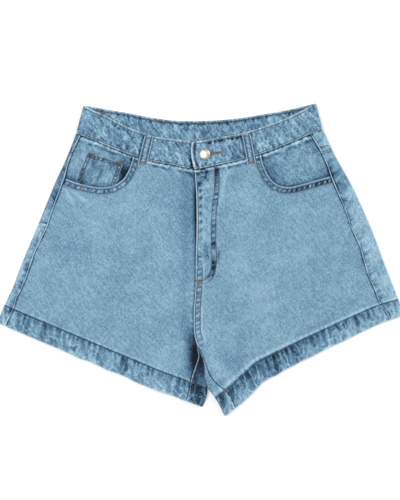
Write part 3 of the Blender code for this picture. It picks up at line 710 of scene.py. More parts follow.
def addPiece(name, vertices, faces, washAndShade, below, materials, indices=None):
    mesh = bpy.data.meshes.new(name)
    mesh.from_pydata((vertices * mm).tolist(), [], faces)
    for used in materials:
        mesh.materials.append(used)
    if indices is not None:
        mesh.polygons.foreach_set("material_index", indices)
    # this attribute holds the stonewash tone and also painted shade and painted highlights
    layer = mesh.attributes.new("washAndShade", "FLOAT", "POINT")
    layer.data.foreach_set("value", washAndShade.astype(np.float32))
    # the weave's place is the plan, each piece cut from another spot, and mirrored underneath
    corner = np.empty(len(mesh.loops), np.int32)
    mesh.loops.foreach_get("vertex_index", corner)
    sizes = np.empty(len(mesh.polygons), np.int32)
    mesh.polygons.foreach_get("loop_total", sizes)
    starts = np.concatenate([[0], np.cumsum(sizes)[:-1]])
    under = np.maximum.reduceat(np.broadcast_to(below, len(vertices))[corner].astype(int), starts)
    side = np.where(np.repeat(under, sizes) > 0, -1.0, 1.0)
    plan = vertices[corner, :2] / uvUnit
    plan[:, 0] = plan[:, 0] * side + 13 * (1 - side)
    plan += len(trees) * clothStep
    chart = mesh.uv_layers.new(name="cloth")
    chart.uv.foreach_set("vector", plan.astype(np.float32).ravel())
    mesh.shade_smooth()
    trees[name] = BVHTree.FromPolygons(vertices.tolist(), faces)
    pieces[name] = linkPiece(name, mesh)


def clothShell(name, points, normals, faces, thick, washAndShade, below=False, edgeWash=0.0, reverse=True):
    # outer face, rounded edge and inner face of one piece of cloth
    count = len(points)
    quads = np.array([f[:3] for f in faces])
    a, b, c = points[quads[:, 0]], points[quads[:, 1]], points[quads[:, 2]]
    if (np.cross(b - a, c - a) * normals[quads[:, 0]]).sum() < 0:
        faces = [f[::-1] for f in faces]
    start = np.concatenate([np.array(f) for f in faces])
    end = np.concatenate([np.roll(f, -1) for f in faces])
    lone = ~np.isin(start * count + end, end * count + start)
    start, end = start[lone], end[lone]
    rim = np.unique(start)
    place = np.full(count, -1)
    place[rim] = np.arange(len(rim))
    outward = np.zeros((count, 3))
    step = np.cross(points[end] - points[start], normals[start])
    step /= np.maximum(np.linalg.norm(step, axis=1), 1e-9)[:, None]
    np.add.at(outward, start, step)
    np.add.at(outward, end, step)
    outward = outward[rim] / np.maximum(np.linalg.norm(outward[rim], axis=1), 1e-9)[:, None]
    thick = np.broadcast_to(thick, count)
    half = (thick[rim] / 2)[:, None]
    middle = points[rim] - normals[rim] * half
    turns = [radians(t) for t in (50, 0, -50)]
    rings = [middle + half * (cos(t) * outward + sin(t) * normals[rim]) for t in turns]
    vertices = np.vstack([points, *rings, points - normals * thick[:, None]])
    base = [count + k * len(rim) for k in range(3)]
    inner = count + 3 * len(rim)
    p, q = place[start], place[end]
    levels = [(start, end), *[(p + k, q + k) for k in base], (start + inner, end + inner)]
    strips = [np.stack([*high[::-1], *low], 1) for high, low in zip(levels[:-1], levels[1:])]
    closed = [list(f) for f in faces]
    closed += np.vstack(strips).tolist()
    innerFrom = len(closed)
    closed += [[k + inner for k in f[::-1]] for f in faces]
    edge = np.clip(washAndShade[rim] + np.broadcast_to(edgeWash, count)[rim], -1.2, 1.1)
    allWash = np.concatenate([washAndShade, edge, edge, edge, washAndShade])
    below = np.broadcast_to(below, count)
    allBelow = np.concatenate([below, below[rim], below[rim], below[rim], below])
    indices = np.zeros(len(closed), np.int32)
    if reverse:
        indices[innerFrom:] = 1
    used = [denim, denimReverse] if reverse else [denim]
    addPiece(name, vertices, closed, allWash, allBelow, used, indices)


def declareCloth(node):
    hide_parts(node)


# What a seam does to the cloth beside it: relief in mm, and wash, the tone from -1, dark, to 1, pale:
# stonewash wear, with painted shade and painted highlight where noted.
panelLook = {
    "cloth": 1.6,
    "hemCloth": 2.8,
    "wavesLong": (38.0, 0.35, 0.05),  # mm, relief, wash
    "wavesShort": (15.0, 0.14, 0.05),
    "sidePuckers": (9.5, 2.0, 9.0),
    "sideDark": ((1.25, 0, 1.4), (0.16, 0, 5)),
    "waistScallop": (8.2, 2.3, 10.0),
    "waistVein": (-55, 8.0, 4.0),
    "mouthRope": (6.2, 1.45, 5.5),
    "mouthLean": {"right": -0.3, "left": 0.45},
    "mouthLines": ((0.22, 0, 1.2), (-0.16, 10.6, 1.4)),
    "riseRungs": (7.0, 1.7, 12.0),
    "legPuckers": (8.0, 1.8, 9.0),
    "legDark": {"right": ((1.0, 0, 1.2), (0.16, 0, 7)), "left": ((0.55, 0, 1.2), (0.16, 0, 7))},
}
hemLook = {
    "rope": (9.0, 1.15, 34.0),
    "hollow": (10.0, 4.2, 36.0),
    "puckers": (7.0, 2.0, 9.0),
    "vein": (-74, 15.0, 7.5),
    "lean": {"right": 0.35, "left": 0.05},
    "furrow": {"right": 0.75, "left": 0.45},
    "shadow": (-0.16, 4, 3),
    "lip": {"right": (0.18, 1.6, 1.3), "left": (0.36, 1.6, 1.3)},
    "dip": (0.30, 112, 24),  # a darker place on the left hem, by its x
}


def waves(plan, seed):
    # the slack of washed cloth that is laid by hand
    long, high, washLong = panelLook["wavesLong"]
    short, low, washShort = panelLook["wavesShort"]
    big = turnedNoise(plan, (58, long * 1.5, long), seed)
    small = turnedNoise(plan, (35, short * 1.4, short), seed + 1)
    return high * big + low * small, washLong * big + washShort * small


def hemDetail(side, plan, run, share, seed):
    # the turned hem's layers shrank unevenly: thin pale ridges lean across it, with dark hollows between
    look = hemLook
    off = (share - lay["hem"]) * lay["legLength"]
    depth, above = np.maximum(off, 0), np.maximum(-off, 0)
    lean, onHem, low = look["lean"][side], smooth(off / 1.2 + 0.5), fadeIn(off, 8, 10)
    rope = ridges(run, depth, seed, look["rope"], lean, 0.30)
    hollow = ridges(run, depth, seed + 1, look["hollow"], lean, 0.15) * (1 - 0.8 * rope)
    vein, tone = crumple(plan, look["vein"], seed + 3)
    height = onHem * (lay["hemSwell"] + 0.5 * rope + 0.3 * vein * low - 0.45 * hollow)
    # the dark furrow at the stitching is painted shade
    furrow = bell((off - 1.0) / 0.8)
    washAndShade = (0.60 * rope - 0.54 * hollow) * (1 - furrow) - look["furrow"][side] * furrow
    washAndShade = washAndShade + (0.30 + 0.40 * low) * vein + 0.14 * tone - 0.17
    washAndShade = onHem * (washAndShade + stripes(off, look["shadow"]) + 0.16 * fadeIn(off, 21, 3))
    if side == "left":
        washAndShade = washAndShade - onHem * stripes(plan[:, 0], look["dip"])
    pucker = ridges(run, above, seed + 2, look["puckers"], -0.1, 0.25)
    height = height + (1 - onHem) * 0.3 * pucker
    edge = 0.26 * pucker + stripes(above, look["lip"][side]) - 0.10 * fadeOut(above, 0, 9)
    return height, washAndShade + (1 - onHem) * edge


def curveThrough(points, count=60):
    rows = np.array(points)
    run = np.concatenate([[0], np.cumsum(np.linalg.norm(np.diff(rows, axis=0), axis=1))])
    at = np.linspace(0, run[-1], count)
    return np.stack([along(run, rows[:, k], at) for k in (0, 1)], -1)


def waistScallops(plan, run, down, seed):
    # where the waistband's stitching gathers the cloth: pale bumps and dark hollows, and a painted shadow
    # under the band's edge
    scallop = ridges(run, down, seed, panelLook["waistScallop"])
    vein, tone = crumple(plan, panelLook["waistVein"], seed + 50)
    near = fadeOut(down, 2, 13)
    uneven = softNoise(run / 9, down / 9, seed + 51)
    lip = bell((down - 4.4 - uneven) / 1.7) * (0.7 + 0.5 * softNoise(run / 6, 0 * run, seed + 52))
    hollow = bell((down - 8.6 - 1.5 * uneven) / 2.4) * (0.6 + 0.8 * softNoise(run / 5, 0 * run, seed + 53))
    washAndShade = 0.55 * lip - 0.45 * hollow + 0.85 * scallop + near * (0.60 * vein + 0.14 * tone - 0.26)
    # the dark line just under the band's edge is painted shadow
    washAndShade = np.minimum(washAndShade, 0.60) - 0.90 * bell(down / 1.8)
    return 0.45 * scallop + 0.4 * lip - 0.2 * hollow + 0.2 * near * vein, washAndShade


def mouthGap(side, plan):
    # distance over the panel's side of the pocket mouth, under 0 in the pocket; and along it
    line = curveThrough(mouths[side])
    far, toward, normal, run = nearest(line, outward[side], plan)
    return np.where((toward * normal).sum(1) > 0, far, -far), run


def acrossOf(side, share, distance, fromInner=False):
    length = courseLength(side, share)
    return 1 - distance / length if fromInner else distance / length


flyLook = {
    "lap": 13.0,
    "lapFull": 0.41,
    "lapEnd": 0.46,
    "raise": 3.6,
    "fullX": 28.0,
    "endX": 56.0,
    "fullY": -20.0,
    "endY": -56.0,
    "ridge": 0.9,
    "ridgeWidth": 10.0,
    # x and y of the J's two rows of stitches
    "rowInner": (
        (20.8, 137.0), (20.8, 100.0), (18.2, 84.0), (16.8, 44.0), (15.6, 10.0),
        (16.4, -9.0), (11.5, -24.0), (3.0, -31.5), (-4.2, -33.0),
    ),
    "rowOuter": (
        (28.2, 137.0), (26.8, 97.0), (23.6, 70.0), (22.8, 30.0), (23.6, -7.0),
        (18.8, -26.0), (9.5, -35.2), (-4.0, -37.0),
    ),
    "rowGap": 7.2,
    "dotStep": 12.7,
    "dotAt": 6.5,
    "edge": (0.40, 0.6, 1.2),
    "fell": (0.22, 12.6, 1.6),
    "shadow": (0.16, 17, 4),
    "bars": (6.5, 1.6, 30.0),
    "worn": (85, 10.0, 3.5),
    "vein": (-42, 13.0, 6.0),
    # the facing under it: shares at which its edge turns and ends, mm from the lap, and its lie
    "facingTurn": 0.38,
    "facingEnd": 0.452,
    "facingNear": 1.2,
    "facingFar": 30.5,
    "facingLie": 0.40,
}


def flyHeight(points):
    look = flyLook
    across = fadeOut(points[:, 0], look["fullX"], look["endX"] - look["fullX"])
    down = fadeOut(points[:, 1], look["fullY"], look["endY"] - look["fullY"])
    return look["raise"] * across * down


def flyDetail(plan, fromEdge, share, down, seed, rungs, flyOpen):
    # the left front's fly: felled edge below it, dark dots down its edge, worn J, crushed flap
    look, onRise = flyLook, share < lay["crotch"]
    shut = (1 - flyOpen) * onRise
    fell = window(fromEdge, 3.0, 9.6, 1.4) * (0.80 * rungs - 0.34) + stripes(fromEdge, look["fell"])
    washAndShade = onRise * stripes(fromEdge, look["edge"]) + shut * fell
    height = shut * 0.4 * rungs * fadeOut(fromEdge, 9, 4)
    pitch = look["dotStep"]
    nearDot = (down + pitch / 2) % pitch - pitch / 2
    dots = bell(nearDot / 3.1) * bell((fromEdge - look["dotAt"]) / 2.7) * window(share, 0.05, 0.33, 0.04)
    washAndShade, height = washAndShade - 0.85 * dots, height - 0.3 * dots
    inner, outer = (nearest(curveThrough(look[r]), 1.0, plan)[0] for r in ("rowInner", "rowOuter"))
    between = smooth((look["rowGap"] + 1.8 - inner - outer) / 2.2)
    atTop, nearTack = fadeOut(share, 0.05, 0.10), fadeOut(plan[:, 1], -34, 14)
    atCurve = fadeIn(share, 0.33, 0.04) * (1 - 0.9 * nearTack)
    bars = ridges(down, 0 * down, seed + 9, look["bars"], 0.0, 0.2)
    worn = 1 + 0.65 * turnedNoise(plan, look["worn"], seed + 15)
    dark = 0.42 + 0.24 * atTop + 0.42 * atCurve - 0.50 * nearTack - 0.62 * bars * (1 - 0.7 * atTop)
    washAndShade = washAndShade - between * worn * dark
    height = height + between * (0.35 * bars - 0.3)
    inside = window(fromEdge, 1.5, 21, 2.0) * flyOpen
    vein, tone = crumple(plan, look["vein"], seed + 12)
    soft = 0.35 + 0.65 * fadeOut(share, 0.05, 0.15) + 0.6 * atCurve
    washAndShade = washAndShade + inside * (soft * (0.80 * vein + 0.26 * tone - 0.26) + 0.21 - 0.25 * atCurve)
    # painted shadow inside the open fly, and painted shade at its top under the waistband
    washAndShade = washAndShade - inside * (stripes(fromEdge, look["shadow"]) + 0.52 * fadeOut(share, 0.03, 0.09))
    return height + inside * soft * 0.4 * vein, washAndShade


def riseDetail(plan, fromEdge, share, down, rungs, flyOpen):
    # the right front goes under the left one: painted shadow beside the lap, and painted shade in the valley
    # at the crotch
    onRise = share < lay["crotch"]
    shut, near = (1 - flyOpen) * onRise, fadeOut(fromEdge, 3, 8)
    high = fadeIn(down, 20, 30) * fadeOut(down, 75, 60)
    # painted shadow beside the lap, widest high up under the tab
    beside = (0.30 + 0.3 * high, 0, 1.9), (0.22 + 0.50 * high, 0, 5.5), (0.10, 16, 9)
    washAndShade = shut * near * 0.28 * rungs - onRise * stripes(fromEdge, *beside)
    y = plan[:, 1]
    # painted shade in the valley at the crotch, darkest at its core
    valley = (0.5 * fadeIn(-y, 96, 30) + 0.5 * fadeIn(-y, 124, 14)) * fadeIn(y, -186, 50)
    core = fadeIn(-y, 122, 14) * fadeIn(y, -164, 20)
    off = np.maximum(fromEdge - inseamInset("right", share) * ~onRise, 0)
    washAndShade = washAndShade - 1.05 * valley * bell(np.minimum(off, 40) / 13) - 0.60 * core * bell(off / 5)
    return shut * 0.35 * rungs * near, washAndShade


def frontDetail(side, plan, across, share):
    # relief and wash of a front panel, with all that its seams do to it
    look, seed = panelLook, seeds["front"][side]
    length, down = courseLength(side, share), share * lay["legLength"]
    run, fromEdge = across * length, np.maximum((1 - across) * length, 0)
    height, washAndShade = waves(plan, seed)
    washAndShade = washAndShade + creaseShadingAndWear(plan)
    lift, tone = hemDetail(side, plan, run, share, seed + 2)
    height, washAndShade = height + lift, washAndShade + tone
    # the side seam is darkest below the pocket and fades unevenly down the leg
    off = np.maximum(run - seamInset(side, share), 0)
    pucker = ridges(down, off, seed + 5, look["sidePuckers"], 0.1, 0.35)
    strong = 0.55 + 0.45 * fadeOut(down, 60, 60) + 0.30 * softNoise(down / 14, 0 * down, 5)
    washAndShade = washAndShade - strong * stripes(off, *look["sideDark"]) + 0.26 * pucker
    height = height + 0.35 * pucker
    lift, tone = waistScallops(plan, run, down, seed + 6)
    height, washAndShade = height + lift, washAndShade + tone
    # the pocket mouth, between its two rows of stitches
    gap, way = mouthGap(side, plan)
    leaning = way + look["mouthLean"][side] * gap
    rope = ridges(leaning, np.abs(gap - 6.2), seed + 7, look["mouthRope"], 0.0, 0.1)
    band = window(gap, 2.8, 9.0, 1.4)
    lower = fadeIn(way, 70, 25) if side == "left" else 0.25 + 0.25 * softNoise(way / 18, 0 * way, 3)
    washAndShade = washAndShade + band * ((0.85 + 0.6 * lower) * rope - 0.42 - 0.42 * lower)
    washAndShade = washAndShade + stripes(gap, *look["mouthLines"])
    height = height + band * (0.45 * rope - 0.1)
    flyOpen = fadeOut(share, 0.41, 0.03)
    rungs = ridges(down, fromEdge * 0.3, seed + 8, look["riseRungs"], 0.1, 0.3)
    if side == "left":
        lift, tone = flyDetail(plan, fromEdge, share, down, seed, rungs, flyOpen)
    else:
        lift, tone = riseDetail(plan, fromEdge, share, down, rungs, flyOpen)
    height, washAndShade = height + lift, washAndShade + tone
    onLeg = smooth((share - lay["crotch"]) / 0.01 + 0.5)
    off = np.maximum(fromEdge - inseamInset(side, share), 0)
    pucker = ridges(down, off, seed + 11, look["legPuckers"], -0.2, 0.3)
    washAndShade = washAndShade + onLeg * (0.24 * pucker - stripes(off, *look["legDark"][side]))
    return height + onLeg * 0.3 * pucker, washAndShade


def panelThick(share):
    onHem = smooth((share - lay["hem"]) / 0.006 + 0.5)
    return mix(panelLook["cloth"], panelLook["hemCloth"], onHem)


def frontPanel(side):
    half = panelLook["cloth"] / 2
    rows = spread((0.0026, 0.28, 74), (0.28, 0.79, 92), (0.79, 0.905, 16), (0.905, 0.9962, 28))
    share, place, faces = patchGrid(rows, spread((0, 0.045, 14), (0.045, 0.84, 136), (0.84, 1, 46)))
    start = acrossOf(side, share, seamInset(side, share) + lay["seamGap"] / 2 + half)
    leg = inseamInset(side, share) * (share > lay["crotch"])
    end = acrossOf(side, share, leg + half, True)
    if side == "right":
        lap = flyLook["lap"] * fadeOut(share, flyLook["lapFull"], flyLook["lapEnd"] - flyLook["lapFull"])
        end = end - 1 + acrossOf(side, share, -lap, True)
    across = mix(start, end, place)
    gap, _ = mouthGap(side, coursePoint(side, across, share, 1))
    values, faces = clipPatch(np.stack([share, across], -1), faces, gap - half)
    share, across = values.T
    points, normals = clothAt(side, across, share, 1)
    height, washAndShade = frontDetail(side, points[:, :2], across, share)
    if side == "left":
        seamX = innerEnd(side, share)[:, 0]
        ridge = np.clip(1 - np.abs(points[:, 0] - seamX) / flyLook["ridgeWidth"], 0, 1)
        ridge = flyLook["ridge"] * smooth(ridge * 2) * (share < lay["crotch"])
        height = height + np.maximum(flyHeight(points), ridge)
    points[:, 2] += height
    gap, _ = mouthGap(side, points[:, :2])
    # wash of the cut edge: pale at the hem, dark at the seams, little at the mouth and the fly
    edge = np.where(share > 0.99, 0.28, -0.5)
    edge = np.where(gap < 1.5, -0.05, edge)
    edge = np.where((share < lay["crotch"]) & (across > 0.9), 0.0, edge)
    clothShell(sided("frontPanel", side), points, normals, faces, panelThick(share), washAndShade, False, edge)


def bandAt(side, across, up, face):
    (lowX, _), (highX, highY) = bandFold[side]
    seam, edge = ("frontSeam", "frontEdge") if face > 0 else ("backSeam", "backEdge")
    low = np.stack([mix(lowX, lay["centreX"], across), waistY(side, seam, across) + lay["seamGap"] / 2], -1)
    high = np.stack([mix(highX, lay["centreX"], across), waistY(side, edge, across)], -1)
    high[:, 1] += bell(across / 0.08) * (highY - waistY(side, edge, 0.0))
    plan = mix(low, high, up[:, None])
    height, normal, _ = rounded(bandLines[side], plan, face, lay["bandRadius"], lay["bandCrown"])
    return np.concatenate([plan, (height + lay["lift"])[:, None]], -1), normal


def acrossBand(side, x):
    return (x - bandFold[side][0][0]) / (lay["centreX"] - bandFold[side][0][0])


def bandHalf(side):
    return abs(lay["centreX"] - bandFold[side][0][0])


bandLook = {
    "cloth": 3.0,
    "underlap": 0.23,  # of the half band's length, past the centre
    "tabEdge": (0.3, 3.0, 5.0, 5.6, 4.4),  # mm past the centre, from the waist seam up
    "tabRaise": 3.35,
    "tabFullX": 33.0,
    "tabEndX": 57.0,
    "frontHigh": 42.0,
    "backHigh": 41.0,
    "frontColumns": 190,
    "streaks": (-58, 9.0, 2.2, 0.25, 0.20),  # angle, mm long, mm wide, wash, relief
    "blobs": (70, 12.0, 9.0, 0.13, 0.20),
    "veins": (-66, 11.0, 5.0, 0.52, 0.40),
    "puckers": (7.6, 1.6, 10.0),
    "dents": (9.0, 2.0, 5.0),
    "pinch": (7.0, 2.2, 30.0),
    "insideRows": ((-0.30, 0, 1.3), (-0.60, 4.0, 1.5)),
    "tabRows": ((0.75, 1.6, 1.5), (-0.70, 5.6, 1.5)),
}
holeLook = {"start": (14.0, 158.2), "tip": (32.5, 160.6), "half": 2.6}


def tabEnd(up):
    # how far past the centre the buttoned tab goes
    return along(np.linspace(0, 1, 5), np.array(bandLook["tabEdge"]), up)


def loopLine(side):
    # top and bottom of a front belt loop, and the way across it
    top, bottom, width = loopLook["front"][side]
    return np.array(top), np.array(bottom), np.array((width, width * loopLook["slant"]))


def loopShade(plan):
    # painted shadow beside the belt loops, most on the wearer's right of each
    total = np.zeros(len(plan))
    for side in sides:
        top, bottom, (width, _) = loopLine(side)
        long = np.linalg.norm(bottom - top)
        way, rel = (bottom - top) / long, plan - top
        off = rel[:, 0] * way[1] - rel[:, 1] * way[0]
        beside = stripes(off, (0.55, width / 2 + 0.6, 2.2), (0.35, -width / 2 - 0.4, 1.6))
        total += window(rel @ way, -1, long, 3.0) * beside
    return total


def bandDetail(plan, run, up, high, seed):
    # shrunk, crushed layers: veins, short leaning streaks, and puckers from both rows of stitches
    look, height, washAndShade = bandLook, 0, 0
    for count, kind in enumerate(("streaks", "blobs")):
        *row, tone, relief = look[kind]
        noise = turnedNoise(plan, row, seed + count)
        height, washAndShade = height + relief * noise, washAndShade + tone * noise
    *row, tone, relief = look["veins"]
    vein, cell = crumple(plan, row, seed + 4)
    height, washAndShade = height + relief * vein, washAndShade + tone * vein + 0.10 * cell
    above, below = np.maximum(up * high, 0), np.maximum((1 - up) * high, 0)
    low = ridges(run, np.abs(above - 3), seed + 2, look["puckers"], -0.45)
    top = ridges(run, np.abs(below - 4), seed + 3, look["puckers"], -0.45)
    lowDents = ridges(run, np.abs(above - 5.5), seed + 5, look["dents"])
    topDents = ridges(run, np.abs(below - 6.5), seed + 6, look["dents"])
    puckers, dents = np.maximum(low, top), np.maximum(lowDents, topDents)
    washAndShade = washAndShade + 0.42 * puckers - 0.60 * dents - 0.23
    washAndShade = washAndShade + stripes(above, (0.50, 0, 1.1)) + stripes(below, (0.60, 0, 1.3))
    return height + 0.3 * puckers - 0.25 * dents, washAndShade


def waistband(side):
    # columns go from the centre back along the underside, round the fold, and along the front
    look, half = bandLook, bandHalf(side)
    turn = [lay["bandRadius"] * (1 - cos(radians(a))) / half for a in range(90, -1, -15)]
    centre = 1 - (lay["seamGap"] / 2 + look["cloth"] / 2) / half
    under = [*np.linspace(centre, turn[0], 130)[:-1], *turn]
    slots = np.concatenate([under, turn[-2::-1], np.zeros(look["frontColumns"])])
    up, index, faces = patchGrid(spread((0.036, 0.964, 44)), np.arange(len(slots)))
    if side == "right":
        end = 1 + look["underlap"] * np.ones_like(up)
    else:
        end = 1 + (tabEnd(up) - look["cloth"] / 2) / half
    k = index - len(under)
    front, flat = k >= 0, k > len(turn) - 2
    across = slots[index]
    across[flat] = mix(turn[0], end[flat], (k[flat] - len(turn) + 2) / look["frontColumns"])
    lower, lowerNormal = bandAt(side, across, up, -1)
    upper, upperNormal = bandAt(side, across, up, 1)
    points = np.where(front[:, None], upper, lower)
    normals = np.where(front[:, None], upperNormal, lowerNormal)
    run = across * half * np.where(front, 1, -1)
    high = np.where(front, look["frontHigh"], look["backHigh"])
    height, washAndShade = bandDetail(points[:, :2], run, up, high, seeds["band"][side])
    below = (1 - up) * high
    inside = stripes((1 - across) * half, (0.18, 0, 1.6)) + stripes(below, *look["insideRows"]) - 0.05
    washAndShade = washAndShade - loopShade(points[:, :2]) * front + ~front * inside
    x = points[:, 0]
    if side == "left":
        washAndShade = washAndShade + front * stripes(x - (lay["centreX"] - tabEnd(up)), *look["tabRows"])
        pinch = ridges(run, 0 * run, 97, look["pinch"], 0.0, 0.2)
        washAndShade = washAndShade - front * window(x, 8, 62, 8) * bell((below - 4.6) / 2.2) * (0.35 + 0.75 * pinch)
        # the buttonhole's slit, a dark line: painted shade in the opening
        slit, reach = points[:, :2] - holeLook["start"], np.subtract(holeLook["tip"], holeLook["start"])
        off = np.abs(slit[:, 0] * reach[1] - slit[:, 1] * reach[0]) / np.linalg.norm(reach)
        within = window(slit @ reach / (reach @ reach), -0.1, 0.85, 0.2)
        washAndShade = washAndShade - front * within * 0.7 * bell(off / 1.1)
        raised = look["tabRaise"] * fadeOut(x, look["tabFullX"], look["tabEndX"] - look["tabFullX"])
        points[:, 2] += np.where(front, raised, 0)
    else:
        hidden = fadeIn(x, lay["centreX"], 4) * front
        height = height * (1 - hidden) - 0.1 * hidden
        # painted shadow of the buttoned tab on the underlap beside its edge
        washAndShade = washAndShade - front * bell((x + 13.5 - 2 * up) / 3.4)
    points += normals * np.where(front, height, -np.abs(height) * 0.5)[:, None]
    points[:, 2] = np.maximum(points[:, 2], np.where(front, 0, lay["lift"]))
    clothShell(sided("waistband", side), points, normals, faces, look["cloth"], washAndShade, ~front, 0.15, False)


backLook = {
    "seamSteps": 20,
    "seamEase": 1.5,  # the columns gather at the seam
    "flatSteps": 91,
    "innerSteps": 20,
    # mm from the centre back: the end of the flat part, and the columns after it
    "flatEnd": 12.5,
    "riseFrom": 10.0,
    "riseStep": 0.8,
    "riseTo": 5.2,
    "underRun": 400,  # so that the underside's ridges aren't those of the top
    "stripPuckers": (12.0, 3.0, 15.0),
    "stripVein": (70, 12.0, 5.0),
    "stripBar": ((0.8, 23.6, 1.2), (-0.6, 26.4, 1.6)),
    "legPuckers": (8.5, 1.8, 9.0),
    "legMottle": (80, 14.0, 7.0),
    "legLip": {"right": (0.34, 1.0, 0.9), "left": (0.10, 1.0, 0.9)},
    "riseRungs": (8.0, 1.7, 10.0),
    "riseLines": ((-0.5, 0, 1.8), (0.3, 3, 1.3)),
    "yokePuckers": (8.0, 1.8, 8.0),
    "yokeScallop": (8.0, 1.9, 8.0),
    "yokeGap": 0.0002,  # share between yoke and panel, on each side of the seam
    # start, end and steps of each stretch of the panel's rows
    "panelRows": (
        (0.16, 0.25, 18), (0.25, 0.79, 62), (0.79, 0.81, 8), (0.81, 0.905, 24), (0.905, 0.9962, 27),
    ),
}


def backPath(side, share):
    # across and face of each column: side seam on top, round the fold, under, and round the inner leg
    look, half = backLook, panelLook["cloth"] / 2
    seam = seamInset(side, share) - lay["seamGap"] / 2 - half
    leg = inseamInset(side, share) - lay["seamGap"] / 2 - half
    turn = [lay["foldRadius"] * (1 - cos(radians(a))) for a in range(0, 91, 15)]
    onLeg = share > lay["crotch"]
    seam = np.maximum(seam, turn[-1] + 0.3)
    eased = np.linspace(0, 1, look["seamSteps"] + 1)[:-1] ** look["seamEase"]
    parts = [(acrossOf(side, share, mix(seam, turn[-1], k)), 1) for k in eased]
    parts += [(acrossOf(side, share, d + 0 * share), 1) for d in turn[:0:-1]]
    parts += [(acrossOf(side, share, d + 0 * share), -1) for d in turn]
    first = acrossOf(side, share, turn[-1])
    last = acrossOf(side, share, look["flatEnd"] + 0 * share, True)
    parts += [(mix(first, last, k), -1) for k in np.linspace(0, 1, look["flatSteps"] + 1)[1:]]
    for k, d in enumerate(turn[::-1]):
        distance = np.where(onLeg, d, look["riseFrom"] - look["riseStep"] * k)
        parts.append((acrossOf(side, share, distance, True), -1))
    steps = look["innerSteps"]
    for k in range(1, steps + 1):
        onTop = mix(0.0, np.maximum(leg, 0.3), 0.5 - 0.5 * cos(pi * k / steps))
        distance = np.where(onLeg, onTop, mix(look["riseTo"], half, k / steps))
        parts.append((acrossOf(side, share, distance, True), np.where(onLeg, 1, -1)))
    place = np.array([p for p, _ in parts])
    return place, np.array([np.broadcast_to(f, share.shape) for _, f in parts])


def backColumns(side):
    return np.linspace(0, 1, len(backPath(side, np.array([0.5]))[0]))


def backRow(side, share):
    # across and face of one row, whose columns each have a share of their own
    pick = np.arange(len(share))
    return [values[pick, pick] for values in backPath(side, share)]


def backCloth(side, shareOf, rows):
    # grid of one half's back, row by row: across, share, face, points, normals and faces
    columns = backColumns(side)
    shares = [shareOf(row, columns) for row in rows]
    across, face = (np.ravel(values) for values in zip(*(backRow(side, share) for share in shares)))
    share = np.ravel(shares)
    upper, upperNormal = clothAt(side, across, share, 1)
    lower, lowerNormal = clothAt(side, across, share, -1)
    top = (face > 0)[:, None]
    points, normals = np.where(top, upper, lower), np.where(top, upperNormal, lowerNormal)
    return across, share, face, points, normals, gridFaces(len(rows), len(columns))


def backDetail(side, plan, across, share, face):
    look, seed = backLook, seeds["back"][side]
    length, down = courseLength(side, share), share * lay["legLength"]
    top, run, fromEdge = face > 0, across * length, (1 - across) * length
    height, washAndShade = waves(plan, seed)
    height = np.where(top, 0.5 * height, np.abs(height))
    lift, tone = hemDetail(side, plan, run + look["underRun"] * (face < 0), share, seed + 2)
    height, washAndShade = height + np.where(top, lift, 0.35 * np.abs(lift)), washAndShade + tone
    # the strip from the side seam to the fold
    seam = seamInset(side, share)
    off = np.maximum(seam - run, 0)
    onStrip, inside = top & (across < 0.3), fadeIn(off, 1.5, 2)
    puckers = ridges(down, np.maximum(off - 3, 0), seed + 5, look["stripPuckers"], -0.1)
    vein, cell = crumple(plan, look["stripVein"], seed + 14)
    wobble = 0.7 + 0.6 * softNoise(down / 11, 0 * down, seed + 20)
    strip = stripes(off, (0.42 * wobble, 0.8, 0.7), (-0.66 * (1.4 - wobble), 2.5, 0.7))
    upper = fadeOut(down, 110, 40) if side == "right" else window(down, 40, 95, 20)
    strip = strip + 0.22 * vein + 0.16 * cell + inside * (0.05 - 0.31 * upper - 0.60 * puckers)
    if side == "left":
        strip = strip - 0.5 * window(down, 58, 96, 8) * bell((off - 3.0) / 0.9)
    else:
        strip = strip + inside * stripes(plan[:, 1] + 0.12 * plan[:, 0], *look["stripBar"])
    washAndShade = washAndShade + np.where(onStrip, strip, 0)
    ridge = 0.20 * fadeOut(off, 0, 3) * fadeIn(seam, 4, 6)
    height = height + np.where(onStrip, ridge - 0.3 * puckers, 0)
    # the strip from the inner leg's fold to the inseam, mostly in shade: painted shade, darkest where the
    # legs overlap at the crotch
    offLeg = np.maximum(inseamInset(side, share) - fromEdge, 0)
    legPucker = ridges(down, offLeg, seed + 7, look["legPuckers"], 0.1)
    if side == "right":
        mottle = turnedNoise(plan, look["legMottle"], seed + 31)
        dark = -0.72 - 0.6 * bell((plan[:, 1] + 140) / 15) + 0.25 * mottle
    else:
        dark = -0.05 - 1.0 * window(plan[:, 1], -151, -125, 9)
    dark = dark * (1 - 0.45 * fadeIn(share, lay["hem"], 0.01))
    inner = dark * smooth(offLeg / 3) + stripes(offLeg, look["legLip"][side]) + 0.25 * legPucker
    washAndShade = washAndShade + np.where(top & (across > 0.7) & (share > lay["crotch"]), inner, 0)
    washAndShade = washAndShade + 0.10 * bell((lay["foldRadius"] - np.minimum(run, 9)) / 6) * (across < 0.3)
    # centre back: a felled seam with its puckers
    rise = np.maximum(fromEdge, 0)
    rungs = ridges(down, rise, seed + 9, look["riseRungs"], 0.1)
    onBack = ~top & (share < lay["crotch"]) & (rise < 22)
    washAndShade = washAndShade + np.where(onBack, 0.4 * rungs + stripes(rise, *look["riseLines"]), 0)
    return height + np.where(onBack, 0.3 * rungs, 0), washAndShade


def setBack(points, normals, face, height):
    # relief on top stands up; below, the cloth rests flat and its relief goes inward
    points = points + normals * np.where(face > 0, height, -np.abs(height))[:, None]
    points[:, 2] = np.maximum(points[:, 2], 0)
    return points


def yokeSeam(columnShare):
    return mix(lay["yokeSide"], lay["yokeCentre"], fadeIn(columnShare, 0.25, 0.60))


